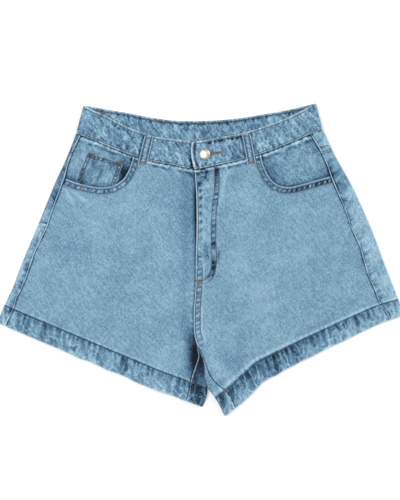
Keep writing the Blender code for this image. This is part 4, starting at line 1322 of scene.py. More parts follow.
def yokeEdge(side, across, share, face, seed, sign):
    # the yoke seam's own puckers and its lip, pale on the yoke (sign -1) and dark on the panel
    columns = backColumns(side)
    seam = np.tile(yokeSeam(columns), len(share) // len(columns))
    off = np.maximum(sign * (share - seam) * lay["legLength"], 0)
    run = across * courseLength(side, share) + backLook["underRun"] * (face < 0)
    pucker = ridges(run, off, seed, backLook["yokePuckers"], 0.1)
    return 0.3 * pucker, 0.35 * pucker + stripes(off, (-0.18, 0, 6), (0.4 if sign < 0 else -0.5, 0, 1.6))


def backPanel(side):
    half = panelLook["cloth"] / 2 / lay["legLength"]
    start, full, _ = backLook["panelRows"][0]

    def shareOf(row, columns):
        # the first rows follow the yoke seam, and the others are level
        seam = yokeSeam(columns) + backLook["yokeGap"] + half
        return np.where(row < full, mix(seam, full, np.clip((row - start) / (full - start), 0, 1)), row)

    rows = spread(*backLook["panelRows"])
    across, share, face, points, normals, faces = backCloth(side, shareOf, rows)
    height, washAndShade = backDetail(side, points[:, :2], across, share, face)
    lift, tone = yokeEdge(side, across, share, face, seeds["underYoke"][side], 1)
    points = setBack(points, normals, face, height + lift)
    name, edge = sided("backPanel", side), np.where(share > 0.99, 0.28, -0.15)
    clothShell(name, points, normals, faces, panelThick(share), washAndShade + tone, face < 0, edge)


def backYoke(side):
    half, seed = panelLook["cloth"] / 2 / lay["legLength"], seeds["yoke"][side]

    def shareOf(row, columns):
        return mix(half, yokeSeam(columns) - backLook["yokeGap"] - half, row)

    across, share, face, points, normals, faces = backCloth(side, shareOf, spread((0, 1, 30)))
    height, washAndShade = backDetail(side, points[:, :2], across, share, face)
    lift, tone = yokeEdge(side, across, share, face, seed, -1)
    down = share * lay["legLength"]
    scallop = ridges(across * courseLength(side, share), down, seed + 2, backLook["yokeScallop"])
    # dark just under the waistband's edge: painted shade
    washAndShade = washAndShade + tone + stripes(down, (-0.45, 0, 2.2), (-0.2, 0, 6)) + 0.4 * scallop
    points = setBack(points, normals, face, height + lift + 0.25 * scallop)
    clothShell(sided("backYoke", side), points, normals, faces, panelLook["cloth"], washAndShade, face < 0)


pocketLook = {
    "cloth": 1.3,
    "coinCloth": 1.2,
    "drop": {"right": 3.5, "left": 2.0},
    "rest": 0.2,
    "edge": 3.0,
    "spread": 40.0,
    "across": 0.545,
    "curve": 0.2,
    "share": 0.265,
    "hollow": (100, 16.0, 7.0),
    "vein": (-50, 14.0, 6.0),
    "grain": (-50, 5.0, 2.2),
    "puckers": (9.0, 2.0, 9.0),
    "mouthShadow": ((-0.42, 0, 3.5), (-0.16, 0, 14)),
    "sideDark": ((-0.75, 0, 1.5), (-0.16, 0, 6)),
    "coinCorners": ((-168.8, 161.1), (-116.2, 143.7), (-189.6, 113.6), (-128.9, 106.6)),
    "coinSize": (56.0, 48.0),  # between the corners
    "coinLie": 0.35,
    "coinRope": (5.5, 1.3, 4.0),
    "coinFold": (70, 14.0, 5.0),
    "coinVein": (60, 14.0, 6.0),
}


def pocketDrop(side, plan):
    gap, _ = mouthGap(side, plan)
    inPocket = np.maximum(-gap, 0)
    near = fadeOut(inPocket, pocketLook["edge"], pocketLook["spread"])
    return mix(pocketLook["rest"], pocketLook["drop"][side], near)


def facingCloth(side, across, share):
    # the facing's outer face, with the hollows that hands and the mouth's stitching leave
    look, seed = pocketLook, seeds["facing"][side]
    points, normals = clothAt(side, across, share, 1)
    plan = points[:, :2]
    points[:, 2] -= pocketDrop(side, plan)
    inPocket = np.maximum(-mouthGap(side, plan)[0], 0)
    height, washAndShade = waves(plan, seed)
    hollow = turnedNoise(plan, look["hollow"], seed + 2)
    run, down = across * courseLength(side, share), share * lay["legLength"]
    lift, tone = waistScallops(plan, run, down, seed + 3)
    vein, cell = crumple(plan, look["vein"], seed + 6)
    off = np.maximum(run - seamInset(side, share), 0)
    pucker = ridges(down, off, seed + 4, look["puckers"], 0.1, 0.35)
    grain = turnedNoise(plan, look["grain"], seed + 9)
    washAndShade = washAndShade + tone + 0.10 * hollow + 0.22 * vein + 0.06 * cell + 0.10 * grain + 0.3 * pucker - 0.12
    # painted shade just inside the mouth, under the panel's lip
    washAndShade = washAndShade + stripes(inPocket, *look["mouthShadow"]) + stripes(off, *look["sideDark"])
    # painted shadow in the gap between the coin pocket's edge and the mouth
    if side == "right":
        washAndShade = washAndShade - 0.9 * bell((plan[:, 0] + 117) / 9) * bell((plan[:, 1] - 132) / 14)
    points[:, 2] += (height * 0.5 + 0.25 * hollow + lift + 0.25 * pucker) * smooth(inPocket / 6)
    return points, normals, washAndShade


def pocketFacing(side):
    look, half = pocketLook, pocketLook["cloth"] / 2
    share, place, faces = patchGrid(spread((0.0026, look["share"], 66)), np.linspace(0, 1, 76))
    start = acrossOf(side, share, seamInset(side, share) + lay["seamGap"] / 2 + half)
    end = look["across"] - look["curve"] * (share / look["share"]) ** 3
    points, normals, washAndShade = facingCloth(side, mix(start, end, place), share)
    clothShell(sided("pocketFacing", side), points, normals, faces, look["cloth"], washAndShade, False, -0.2)


def turned(a, b):
    return a[:, 0] * b[:, 1] - a[:, 1] * b[:, 0]


def shareAt(side, plan, step=0.01, rounds=25):
    # across and share of a plan point on the front, by stepping to it
    share, across = np.full(len(plan), 0.1), np.full(len(plan), 0.3)
    for _ in range(rounds):
        here = coursePoint(side, across, share, 1)
        miss = plan - here
        ahead = coursePoint(side, across + step, share, 1) - here
        down = coursePoint(side, across, share + step, 1) - here
        across = across + step * turned(miss, down) / turned(ahead, down)
        share = share + step * turned(ahead, miss) / turned(ahead, down)
    return across, share


def upward(points, z=1.0):
    return np.tile((0.0, 0.0, z), (len(points), 1))


def coinPocket():
    look, (wide, tall) = pocketLook, pocketLook["coinSize"]
    topOut, topIn, lowOut, lowIn = (np.array(c) for c in look["coinCorners"])
    v, u, faces = patchGrid(np.linspace(0.018, 0.985, 42), np.linspace(0.012, 0.988, 50))
    plan = mix(mix(topOut, topIn, u[:, None]), mix(lowOut, lowIn, u[:, None]), v[:, None])
    across, share = shareAt("right", plan)
    points, _, _ = facingCloth("right", across, share)
    points[:, 2] += look["coinLie"] + look["coinCloth"]
    run, down = u * wide, v * tall
    side = np.minimum(run, wide - run)
    # the two sides' ropes are apart in the ridges' run
    sideRope = ridges(down + 70 * (u > 0.5), np.abs(side - 4), 231, look["coinRope"], 0.2)
    topRope = ridges(run, np.abs(down - 4), 232, look["coinRope"], -0.3)
    onSide, onTop = window(side, 1.6, 6.6, 1.2), window(down, 1.6, 6.6, 1.2)
    fold = turnedNoise(plan, look["coinFold"], 233)
    vein, cell = crumple(plan, look["coinVein"], 235)
    washAndShade = 0.16 * fold + stripes(np.minimum(side, down), (0.55, 0, 1.1)) + 0.26 * vein + 0.20 * cell - 0.30
    washAndShade = washAndShade + onSide * (0.78 * sideRope - 0.34) + onTop * (1 - onSide) * (0.78 * topRope - 0.34)
    # darker towards its lower edge, which lies under the mouth's lip: painted shade
    washAndShade = washAndShade - 0.35 * fadeIn(v, 0.75, 0.25)
    points[:, 2] += (onSide * 0.3 * sideRope + onTop * 0.3 * topRope + 0.12 * fold) * (v < 0.9)
    clothShell("coinPocket", points, upward(points), faces, look["coinCloth"], washAndShade, False, 0.1)


def flyFacing():
    look, thick = flyLook, pocketLook["cloth"]
    share, place, faces = patchGrid(np.linspace(0.008, 0.450, 70), np.linspace(0.02, 0.98, 16))
    curve = np.clip((share - look["facingTurn"]) / (look["facingEnd"] - look["facingTurn"]), 0, 1)
    distance = mix(look["facingNear"], look["facingFar"] * (1 - 0.75 * curve**3), place)
    points, _ = clothAt("left", acrossOf("left", share, distance, True), share, 1)
    points[:, 2] += look["facingLie"] + thick
    clothShell("flyFacing", points, upward(points), faces, thick, np.full(len(points), -0.2))


loopLook = {
    "cloth": 1.5,
    "front": {
        "right": ((-77.0, 184.4), (-87.0, 142.8), 14.0),
        "left": ((68.4, 187.2), (76.8, 143.0), 12.6),
    },
    "slant": 0.08,
    "lie": 0.45,
    "gape": 1.3,
    "backWidth": 13.0,
    "backInset": 0.5,
    "backTail": 10.0,
    "edges": ((0.60, 0, 1.0), (-0.50, 2.8, 1.2)),
    "rungs": (5.0, 1.3, 4.0),
    # the waistband half that each lies on, and its x
    "back": {"Right": ("right", -144.0), "Centre": ("right", -1.0), "Left": ("left", 143.0)},
}


def loopWash(u, v, long, seed):
    # pale edges and ends, dark ladder of puckers between two rows of stitching
    off = np.minimum(u, 1 - u) * loopLook["backWidth"]
    rungs = ridges(v * long + 60 * (u > 0.5), np.abs(off - 5.5), seed, loopLook["rungs"], 0.2, 0.4)
    washAndShade = 0.55 * rungs - 0.16 + stripes(off, *loopLook["edges"])
    return washAndShade + stripes(v * long, (0.35, 0, 2.0)) + stripes((1 - v) * long, (0.3, 0, 2.0)), rungs


def frontLoop(side):
    look, (top, bottom, wide) = loopLook, loopLine(side)
    v, u, faces = patchGrid(np.linspace(0.016, 0.984, 46), np.linspace(0.05, 0.95, 15))
    plan = mix(top, bottom, v[:, None]) + (u[:, None] - 0.5) * wide
    across = acrossBand(side, plan[:, 0])
    seam, edge = waistY(side, "frontSeam", across), waistY(side, "frontEdge", across)
    up = np.clip((plan[:, 1] - seam) / (edge - seam), 0, 1)
    onBand = bandAt(side, across, up, 1)[0][:, 2]
    _, share = shareAt(side, plan)
    onPanel = clothAt(side, across, np.maximum(share, 0), 1)[0][:, 2]
    below = smooth((seam - plan[:, 1] - 1.2) / 4)
    height = mix(np.maximum(onBand, onPanel), onPanel, below) + look["lie"] + look["cloth"]
    height = height + look["gape"] * np.sin(pi * np.clip(v / 0.8, 0, 1)) ** 2
    washAndShade, rungs = loopWash(u, v, np.linalg.norm(top - bottom), seeds["loop"][side])
    height = height + 0.18 * rungs + 0.15 * bell((np.minimum(u, 1 - u) - 0.1) / 0.08)
    points, name = np.concatenate([plan, height[:, None]], 1), sided("beltLoopFront", side)
    clothShell(name, points, upward(points), faces, look["cloth"], washAndShade, False, 0.2, False)


def backLoopSpan(name):
    # side, x, and the y of both ends
    side, x = loopLook["back"][name]
    across = np.array([acrossBand(side, x)])
    high = waistY(side, "backEdge", across)[0] - loopLook["backInset"]
    low = waistY(side, "backSeam", across)[0] - loopLook["backTail"]
    return side, x, high, low


def backLoop(name):
    _, x, high, low = backLoopSpan(name)
    v, u, faces = patchGrid(np.linspace(0.014, 0.986, 46), np.linspace(0.05, 0.95, 14))
    washAndShade, rungs = loopWash(u, v, high - low, 261 + int(x) % 7)
    z = 0.05 + 0.16 * (1 - rungs) * smooth(v * 8) * smooth((1 - v) * 8)
    points = np.stack([x + (u - 0.5) * loopLook["backWidth"], mix(high, low, v), z], -1)
    thick, normals = loopLook["cloth"] - 0.15, upward(points, -1.0)
    clothShell(f"beltLoopBack{name}", points, normals, faces, thick, washAndShade, True, 0.2, False)


for side in sides:
    for sew in (frontPanel, backPanel, backYoke, pocketFacing, waistband):
        sew(side)
print("panels, yokes, facings and waistband made")
coinPocket()
flyFacing()
for side in sides:
    frontLoop(side)
for name in loopLook["back"]:
    backLoop(name)
print("pocket, fly facing and belt loops made")


# Sewing. Each stitch is a short thread that dips into the cloth at both ends.
stitchLook = {
    "pitch": 3.2,
    "gap": 0.45,
    "radius": 0.36,
    "sides": 5,
    "ends": (0.0, 0.16, 0.5, 0.84, 1.0),
    "fat": (0.45, 0.92, 1.0, 0.92, 0.45),
    "rise": (-0.9, 0.35, 0.6, 0.35, -0.9),
    "jump": 2.0,  # no stitch goes over a step higher than this
    "bedStep": 1.3,
    "bedHalf": 0.62,
    "bedJump": 1.6,  # and no furrow over one higher than this
    # painted shade in the stitches' furrows
    "furrowShade": -0.62,
}
fromAbove, fromBelow, fromInside = (60.0, True), (-20.0, False), (6.3, True)  # start height, and if downward


def castOn(names, plan, cast):
    # the cloth under, or over, plan points: places, normals, and which were found
    startZ, down = cast
    places, normals, found = [], [], []
    way = Vector((0, 0, -1.0 if down else 1.0))
    for x, y in plan:
        best = None
        for name in names:
            hit, normal, _, far = trees[name].ray_cast(Vector((x, y, startZ)), way)
            if hit is not None and (best is None or far < best[2]):
                best = (hit, normal, far)
        found.append(best is not None)
        places.append(best[0] if best else (x, y, 0.0))
        normals.append(best[1] if best else -way)
    return np.array(places), np.array(normals), np.array(found)


def evenly(line, step):
    line = np.asarray(line, float)
    run = np.concatenate([[0], np.cumsum(np.linalg.norm(np.diff(line, axis=0), axis=1))])
    count = max(int(round(run[-1] / step)), 1)
    at = np.linspace(0, run[-1], count + 1)
    return np.stack([np.interp(at, run, line[:, k]) for k in range(line.shape[1])], -1), run[-1] / count


def castThree(names, line, side, cast):
    # three places side by side for each point: all places, the middle's normals, and which were found
    lanes = [castOn(names, line + side * k, cast) for k in (-1, 0, 1)]
    return [lane[0] for lane in lanes], lanes[1][1], lanes[0][2] & lanes[1][2] & lanes[2][2]


class Sewing:
    def __init__(self, look):
        self.look = {**stitchLook, **look}
        self.threads, self.beds = [], []

    def bed(self, names, line, cast):
        # the furrow that the thread has pulled the cloth into
        line, _ = evenly(line, self.look["bedStep"])
        way = np.gradient(line, axis=0)
        side = np.stack([-way[:, 1], way[:, 0]], 1) / np.linalg.norm(way, axis=1)[:, None]
        places, _, keep = castThree(names, line, side * self.look["bedHalf"], cast)
        keep[1:] &= np.abs(np.diff(places[1][:, 2])) < self.look["bedJump"]
        self.beds.append((places, keep, 1.0 if cast[1] else -1.0))

    def row(self, names, line, cast=fromAbove):
        # a row of stitches along a plan line
        self.bed(names, line, cast)
        line, step = evenly(line, self.look["pitch"])
        half = (line[1:] - line[:-1]) * ((1 - self.look["gap"] / step) / 2)
        places, normals, keep = castThree(names, (line[:-1] + line[1:]) / 2, half, cast)
        keep &= np.abs(places[0][:, 2] - places[2][:, 2]) < self.look["jump"]
        self.threads.append((*(p[keep] for p in places), normals[keep]))

    def bar(self, names, start, end, width, cast=fromAbove, step=0.55):
        # a bar tack: short threads side by side, across the line from start to end
        line, _ = evenly([start, end], step)
        way = np.subtract(end, start) / np.linalg.norm(np.subtract(end, start))
        places, normals, keep = castThree(names, line, np.array([-way[1], way[0]]) * width / 2, cast)
        places = [p[keep] for p in places]
        outermost = np.max if cast[1] else np.min
        high = outermost([p[:, 2] for p in places], axis=0)
        for p in places:
            p[:, 2] = high
        self.threads.append((*places, normals[keep]))

    def make(self, name, used):
        look = self.look
        start, mid, end, normal = (np.vstack(v) for v in zip(*self.threads))
        way = end - start
        way /= np.maximum(np.linalg.norm(way, axis=1), 1e-6)[:, None]
        normal = normal - (normal * way).sum(1)[:, None] * way
        normal /= np.maximum(np.linalg.norm(normal, axis=1), 1e-6)[:, None]
        side = np.cross(way, normal)
        around, levels, rings = look["sides"], len(look["ends"]), []
        for t, fat, rise in zip(look["ends"], look["fat"], look["rise"]):
            place = start * (1 - t) * (1 - 2 * t) + mid * 4 * t * (1 - t) + end * t * (2 * t - 1)
            place = place + normal * (look["radius"] * rise)
            for k in range(around):
                turn = 2 * pi * k / around + pi / 2
                out = cos(turn) * side + sin(turn) * normal
                rings.append(place + out * (look["radius"] * fat))
        points = np.stack(rings, 1).reshape(-1, 3)
        faces = []
        for low in range(0, (levels - 1) * around, around):
            for k in range(around):
                a, b = low + k, low + (k + 1) % around
                faces.append((a, b, b + around, a + around))
        faces += [range(around)[::-1], range((levels - 1) * around, levels * around)]
        starts = range(0, len(points), levels * around)
        mesh = bpy.data.meshes.new(name)
        mesh.from_pydata((points * mm).tolist(), [], [[i + at for i in f] for at in starts for f in faces])
        mesh.materials.append(used)
        mesh.shade_smooth()
        linkPiece(name, mesh)
        print(name, len(starts), "stitches")


def furrows(name, sewings):
    # painted shade of every furrow: a narrow dark strip laid on the cloth, all in one piece
    points, faces, count, around = [], [], 0, 5
    for (left, middle, right), keep, up in (bed for sewing in sewings for bed in sewing.beds):
        low, edge, top = (np.array((0, 0, up)) * z for z in (0.20, 0.05, 0.07))
        ring = [left - low, left + edge, middle + top, right + edge, right - low]
        base = count + around * np.arange(len(keep))
        points.append(np.stack(ring, 1).reshape(-1, 3))
        count += around * len(keep)
        joined = keep[:-1] & keep[1:]
        for i in np.flatnonzero(joined):
            a, b = base[i], base[i + 1]
            made = [(a + k, b + k, b + (k + 1) % around, a + (k + 1) % around) for k in range(around)]
            if i == 0 or not joined[i - 1]:
                made.append(tuple(a + k for k in range(around)))
            if i == len(joined) - 1 or not joined[i + 1]:
                made.append(tuple(b + k for k in range(around))[::-1])
            faces += made if up < 0 else [f[::-1] for f in made]
    points = np.vstack(points)
    used = np.unique(np.concatenate([np.array(f) for f in faces]))
    renumber = np.full(len(points), -1)
    renumber[used] = np.arange(len(used))
    faces = [[int(renumber[k]) for k in f] for f in faces]
    addPiece(name, points[used], faces, np.full(len(used), stitchLook["furrowShade"]), False, [denim])


def bandLine(side, edge, inset, start, end, face=1, count=80):
    # a plan line along the waistband, inset from one of its edges
    across, up = np.linspace(start, end, count), inset / bandLook["frontHigh"]
    up = (up if edge == "low" else 1 - up) + 0 * across
    return bandAt(side, across, up, face)[0][:, :2]


def clothLine(side, face, across, share):
    across, share = np.broadcast_arrays(np.asarray(across, float), np.asarray(share, float))
    return coursePoint(side, across, share, face)


topstitch = Sewing({})
fineStitch = Sewing({"pitch": 2.8, "radius": 0.30})
tacks = Sewing({"radius": 0.34, "rise": (0.0, 0.45, 0.6, 0.45, 0.0)})
hemStitch = Sewing({"pitch": 3.4, "radius": 0.38})

# mm from the seam or the edge to each row, and from the inseam to both ends of the hem's tack
rowLook = {
    "band": {"low": 2.6, "high": 3.6},
    "tab": 4.2,
    "mouth": (2.9, 9.3),
    "fly": 2.6,
    "rise": (2.4, 10.2),
    "coin": (1.8, 6.6),
    "yoke": (1.9, 8.4),
    "seat": (2.6, 9.0),
    "hem": 1.0,
    "hemTack": {"right": (3.4, -3.4), "left": (3.0, -4.2)},
}
# Bar tacks: mm from the loop's end, half the length, and the width. In front, the length is a share
# of the loop's width.
tackLook = {"front": (2.2, 0.40, 2.3), "back": (2.4, 5.2, 1.7), "inside": (2.6, 4.6, 1.3)}
for side in sides:
    band = [sided("waistband", side)]
    past = {"right": 1.0, "left": 1.012}[side]
    for edge, inset in rowLook["band"].items():
        topstitch.row(band, bandLine(side, edge, inset, 0.012, past))
        topstitch.row(band, bandLine(side, edge, inset, 0.02, 0.995, -1), fromBelow)
    topstitch.row(band, bandLine(side, "high", rowLook["band"]["high"], 0.03, 0.995, -1), fromInside)
tabUp = np.linspace(0.07, 0.92, 30)
across = 1 + (tabEnd(tabUp) - rowLook["tab"]) / bandHalf("left")
topstitch.row(["waistbandLeft"], bandAt("left", across, tabUp, 1)[0][:, :2])

for side in sides:
    line = curveThrough(mouths[side], 160)
    step = np.gradient(line, axis=0)
    out = np.stack([step[:, 1], -step[:, 0]], 1) / np.linalg.norm(step, axis=1)[:, None]
    for inset in rowLook["mouth"]:
        topstitch.row([sided("frontPanel", side)], line - out * outward[side] * inset)
for row in ("rowInner", "rowOuter"):
    topstitch.row(["frontPanelLeft"], curveThrough(flyLook[row], 120))
downFly = np.linspace(0.012, 0.44, 90)
across = acrossOf("left", downFly, rowLook["fly"], True)
fineStitch.row(["frontPanelLeft"], clothLine("left", 1, across, downFly))
downRise = np.linspace(0.455, 0.785, 90)
for inset in rowLook["rise"]:
    across = acrossOf("left", downRise, inset, True)
    topstitch.row(["frontPanelLeft"], clothLine("left", 1, across, downRise))

topOut, topIn, lowOut, lowIn = (np.array(c) for c in pocketLook["coinCorners"])
wide, tall = pocketLook["coinSize"]
for inset in rowLook["coin"]:
    for share in (inset / wide, 1 - inset / wide):
        topstitch.row(["coinPocket"], np.array([mix(topOut, topIn, share), mix(lowOut, lowIn, share)]))
    share = inset / tall
    topstitch.row(["coinPocket"], np.array([mix(topOut, lowOut, share), mix(topIn, lowIn, share)]))

# under the shorts: yoke seams and centre back; the yokes' rows come round the side folds to the top
for side in sides:
    yoke, columns = [sided("backYoke", side)], backColumns(side)
    for inset in rowLook["yoke"]:
        share = yokeSeam(columns) - inset / lay["legLength"]
        across, face = backRow(side, share)
        line = np.where((face > 0)[:, None], *(coursePoint(side, across, share, f) for f in (1, -1)))
        topstitch.row(yoke, line[face < 0][:-8], fromBelow)
        topstitch.row(yoke, line[(face > 0) & (columns < 0.5)])
downBack = np.linspace(0.02, 0.79, 120)
for inset in rowLook["seat"]:
    across = acrossOf("left", downBack, inset, True)
    topstitch.row(["backPanelLeft", "backYokeLeft"], clothLine("left", -1, across, downBack), fromBelow)

for side in sides:
    loop = [sided("beltLoopFront", side)]
    top, bottom, wide = loopLine(side)
    for k in (-0.30, 0.30):
        fineStitch.row(loop, np.array([top, bottom]) + wide * k)
    inset, reach, width = tackLook["front"]
    for end, other in ((top, bottom), (bottom, top)):
        middle = end + (other - end) / np.linalg.norm(other - end) * inset
        tacks.bar(loop, middle - wide * reach, middle + wide * reach, width)
for name in loopLook["back"]:
    side, x, high, low = backLoopSpan(name)
    loop = [f"beltLoopBack{name}"]
    for k in (-4.0, 4.0):
        fineStitch.row(loop, np.array([(x + k, high - 1), (x + k, low + 1)]), fromBelow)
    inset, reach, width = tackLook["back"]
    for y in (high - inset, low + inset):
        tacks.bar(loop, (x - reach, y), (x + reach, y), width, fromBelow)
    inset, reach, width = tackLook["inside"]
    y = high - inset
    tacks.bar([sided("waistband", side)], (x - reach, y), (x + reach, y), width, fromInside)
tacks.bar(["waistbandRight"], (-74.2, 209.2), (-66.6, 208.0), 1.7, fromInside)

tackPlaces = (
    ("coinPocket", (-167.6, 159.8), (-158.2, 157.0), 1.9),
    ("coinPocket", (-127.0, 146.4), (-118.0, 143.6), 1.9),
    ("frontPanelLeft", (-8.0, -32.2), (1.2, -31.2), 2.6),
    ("frontPanelLeft", (-3.4, -32.0), (-3.0, -38.5), 1.6),
)
for name, start, end, width in tackPlaces:
    tacks.bar([name, "pocketFacingRight"], start, end, width)

for side in sides:
    across = np.linspace(0, 1, 260)
    share = np.full(len(across), lay["hem"] + rowLook["hem"] / lay["legLength"])
    names = [sided("frontPanel", side), sided("backPanel", side)]
    hemStitch.row(names, clothLine(side, 1, across, share))
    hemStitch.row(names[1:], clothLine(side, -1, mix(0.02, 0.975, across), share), fromBelow)
    shares = np.full(2, lay["hem"] + 0.003)
    ends = inseamInset(side, lay["hem"]) + np.array(rowLook["hemTack"][side])
    places = clothLine(side, 1, acrossOf(side, shares, ends, True), shares)
    tacks.bar(names, places[0], places[1], 1.9)

# the buttonhole: a bound slit from the button towards the wearer's left
start, tip = np.array(holeLook["start"]), np.array(holeLook["tip"])
for k in (-1, 1):
    line, _ = evenly(np.array([start + (0, k * holeLook["half"]), tip]), 0.6)
    for a, b in zip(line[:-1], line[1:]):
        tacks.bar(["waistbandLeft"], a, a + (b - a) * 0.9, 1.5, step=0.6)

topstitch.make("topstitching", tanThread)
fineStitch.make("loopStitching", tanThread)
tacks.make("barTacks", rustThread)
hemStitch.make("hemStitching", darkThread)
furrows("seamFurrows", (topstitch, fineStitch, hemStitch))
print("sewing made")


# The button: a hollow cap of nickelled brass on a shank, tumbled bright.
buttonLook = {
    "x": 6.5,
    "y": 157.4,
    "radius": 8.5,
    "rim": 1.3,
    "shank": 4.0,
    "capZ": 13.8,
    "baseZ": 10.3,
    "metal": "#CBCBC8",
    "shade": "#B2AEA6",
    # tan of the ring at the rim
    "worn": "#85765F",
    # rolled rim, groove inside it, then a shallow dome: mm inward, mm up
    "profile": (
        (0.35, 0.26), (0.55, 0.06), (0.35, -0.55), (0.3, 0.50),
        (1.5, 0.55), (2.1, 0.34), (2.1, 0.18), (0.9, 0.03),
    ),
    "hem": 0.5,
    "faceRise": 1.5,  # the middle of the dome, over the cap's base
    "rimTanBand": (1.7, 0.3),  # mm in from the edge
    "rough": (0.34, 0.46),
}


def selectFaces(mesh, wanted):
    bpy.ops.object.mode_set(mode="OBJECT")
    for polygon in mesh.polygons:
        polygon.select = bool(wanted(polygon))
    for edge in mesh.edges:
        edge.select = False
    for vertex in mesh.vertices:
        vertex.select = False
    for polygon in mesh.polygons:
        if polygon.select:
            for index in polygon.vertices:
                mesh.vertices[index].select = True
    bpy.ops.object.mode_set(mode="EDIT")


def buttonPiece():
    look = buttonLook
    bpy.ops.object.select_all(action="DESELECT")
    place = Vector((look["x"], look["y"], look["capZ"] + look["rim"] / 2)) * mm
    bpy.ops.mesh.primitive_cylinder_add(
        vertices=48, radius=look["radius"] * mm, depth=look["rim"] * mm, location=place
    )
    piece = bpy.context.object
    piece.name = "shankButton"
    mesh = piece.data
    bpy.ops.object.mode_set(mode="EDIT")
    bpy.ops.mesh.select_mode(type="FACE")
    selectFaces(mesh, lambda p: p.normal.z > 0.9)
    for inset, rise in look["profile"]:
        bpy.ops.mesh.inset(thickness=inset * mm, depth=0)
        bpy.ops.transform.translate(value=(0, 0, rise * mm))
    selectFaces(mesh, lambda p: p.normal.z < -0.9)
    for inset in (look["hem"], look["radius"] - look["shank"] - look["hem"]):
        bpy.ops.mesh.inset(thickness=inset * mm, depth=0)
    down = (0, 0, (look["baseZ"] - look["capZ"]) * mm)
    bpy.ops.mesh.extrude_region_move(TRANSFORM_OT_translate={"value": down})
    bpy.ops.object.mode_set(mode="OBJECT")
    bevel = piece.modifiers.new("edges", "BEVEL")
    bevel.width, bevel.segments, bevel.angle_limit = 0.22 * mm, 2, radians(40)
    soft = piece.modifiers.new("soft", "SUBSURF")
    soft.levels = soft.render_levels = 2
    for modifier in ("edges", "soft"):
        bpy.ops.object.modifier_apply(modifier=modifier)
    bpy.ops.object.shade_smooth()
    bpy.ops.object.transform_apply(location=True, rotation=True, scale=True)
    made, tree, shader = newMaterial("nickelledBrass")
    spot = addNode(tree, "ShaderNodeTexCoord").outputs["Object"]
    rubbed = addNode(tree, "ShaderNodeTexNoise", None, Vector=spot, Scale=260.0).outputs["Fac"]
    tone = addNode(tree, "ShaderNodeValToRGB", None, Fac=rubbed)
    bands = tone.color_ramp
    bands.elements[0].position, bands.elements[1].position = 0.25, 0.50
    bands.elements[0].color = (*linear(look["shade"]), 1)
    bands.elements[1].color = (*linear(look["metal"]), 1)
    # a tan ring at the rim, darker than the face
    middle = (look["x"] * mm, look["y"] * mm, (look["capZ"] + look["faceRise"]) * mm)
    away = addNode(tree, "ShaderNodeVectorMath", {"operation": "DISTANCE"}, i0=spot, i1=middle)
    near, far = ((look["radius"] - inset) * mm for inset in look["rimTanBand"])
    edge = addNode(tree, "ShaderNodeMapRange", None, Value=away.outputs["Value"], From_Min=near, From_Max=far)
    brass, blend = (*linear(look["worn"]), 1), {"data_type": "RGBA"}
    face = addNode(tree, "ShaderNodeMix", blend, i0=edge.outputs[0], i6=tone.outputs[0], i7=brass)
    tree.links.new(face.outputs[2], shader.inputs["Base Color"])
    shader.inputs["Metallic"].default_value = 1.0
    least, most = look["rough"]
    rough = addNode(tree, "ShaderNodeMapRange", None, Value=rubbed, To_Min=least, To_Max=most)
    tree.links.new(rough.outputs[0], shader.inputs["Roughness"])
    mesh.materials.clear()
    mesh.materials.append(made)
    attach(piece, "root")
    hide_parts("button")


buttonPiece()
print("button made")

# The cut of each cloth piece: flat size in m, flat area in m2, CAD node, and what it lies on.
sideCuts = {
    "frontPanel": ((0.315, 0.385), 0.082, "front_panel", "backPanel"),
    "backPanel": ((0.36, 0.40), 0.104, "back_panel", None),
    "backYoke": ((0.235, 0.060), 0.0098, "back_yoke", "backPanel"),
    "waistband": ((0.430, 0.048), 0.0178, "waistband", "backYoke"),
    "pocketFacing": ((0.115, 0.105), 0.0092, "pocket_facing", "frontPanel"),
    "beltLoopFront": ((0.014, 0.052), 0.0007, "belt_loop_front", "waistband"),
}
for side in sides:
    for name, (flat, area, node, under) in sideCuts.items():
        declareCloth(f"{node}_{side}")
flat, area = sideCuts["beltLoopFront"][:2]
for name, (side, _) in loopLook["back"].items():
    declareCloth(f"belt_loop_back_{name.lower()}")
declareCloth("coin_pocket")
declareCloth("fly_facing")

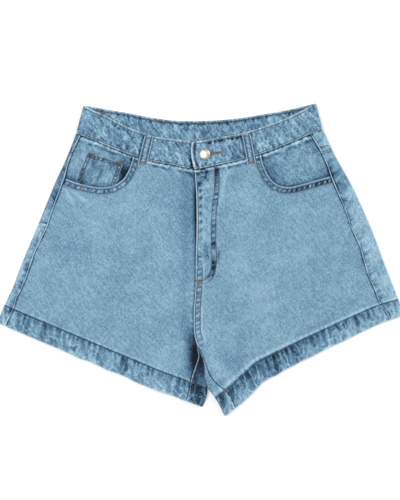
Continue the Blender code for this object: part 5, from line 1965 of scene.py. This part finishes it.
# Floor, light and camera.
stageLook = {
    "floor": "#FAFAF9",
    "fibre": "#FDFDFC",
    "sky": "#F6F8FA",
    "skyStrength": 0.56,
    "cameraX": -0.75,
    "cameraY": 14.25,
    "cameraZ": 2090.0,
    "lens": 100.0,
}
bpy.ops.object.select_all(action="DESELECT")
bpy.ops.mesh.primitive_plane_add(size=8.0, location=(0, 0, -0.0006))
floor = bpy.context.object
floor.name = "floor"
paper, tree, shader = newMaterial("palePaper")
spot = addNode(tree, "ShaderNodeTexCoord").outputs["Object"]
fibre = addNode(tree, "ShaderNodeTexNoise", None, Vector=spot, Scale=260.0).outputs["Fac"]
tone = addNode(tree, "ShaderNodeValToRGB", None, Fac=fibre)
tone.color_ramp.elements[0].color = (*linear(stageLook["floor"]), 1)
tone.color_ramp.elements[1].color = (*linear(stageLook["fibre"]), 1)
tree.links.new(tone.outputs[0], shader.inputs["Base Color"])
shader.inputs["Roughness"].default_value = 0.95
floor.data.materials.append(paper)

lightLook = (
    # name, place, aim, size in metres, watts
    ("overhead", (-0.70, 0.20, 2.2), (-0.1, -0.05, 0.0), 1.6, 36.0),
    ("rakeRight", (2.6, 1.6, 1.9), (0.0, 0.05, 0.0), 0.9, 40.0),
)
for name, place, aim, size, watts in lightLook:
    light = bpy.data.lights.new(name, "AREA")
    light.shape, light.size, light.energy = "SQUARE", size, watts
    lamp = bpy.data.objects.new(name, light)
    bpy.context.scene.collection.objects.link(lamp)
    lamp.location = place
    lamp.rotation_euler = (Vector(aim) - Vector(place)).to_track_quat("-Z", "Y").to_euler()

world = bpy.data.worlds.new("studio")
bpy.context.scene.world = world
world.use_nodes = True
sky = world.node_tree.nodes["Background"]
sky.inputs["Color"].default_value = (*linear(stageLook["sky"]), 1)
sky.inputs["Strength"].default_value = stageLook["skyStrength"]

bpy.context.scene.view_settings.view_transform = "Standard"
lens = bpy.data.cameras.new("camera")
lens.lens, lens.sensor_width = stageLook["lens"], 36
camera = bpy.data.objects.new("camera", lens)
bpy.context.scene.collection.objects.link(camera)
camera.location = Vector((stageLook["cameraX"], stageLook["cameraY"], stageLook["cameraZ"])) * mm
bpy.context.scene.camera = camera

meshes = [o.data for o in bpy.data.objects if o.type == "MESH"]
triangles = [sum(len(p.vertices) - 2 for p in mesh.polygons) for mesh in meshes]
print("triangles", sum(triangles), "largest", max(triangles))
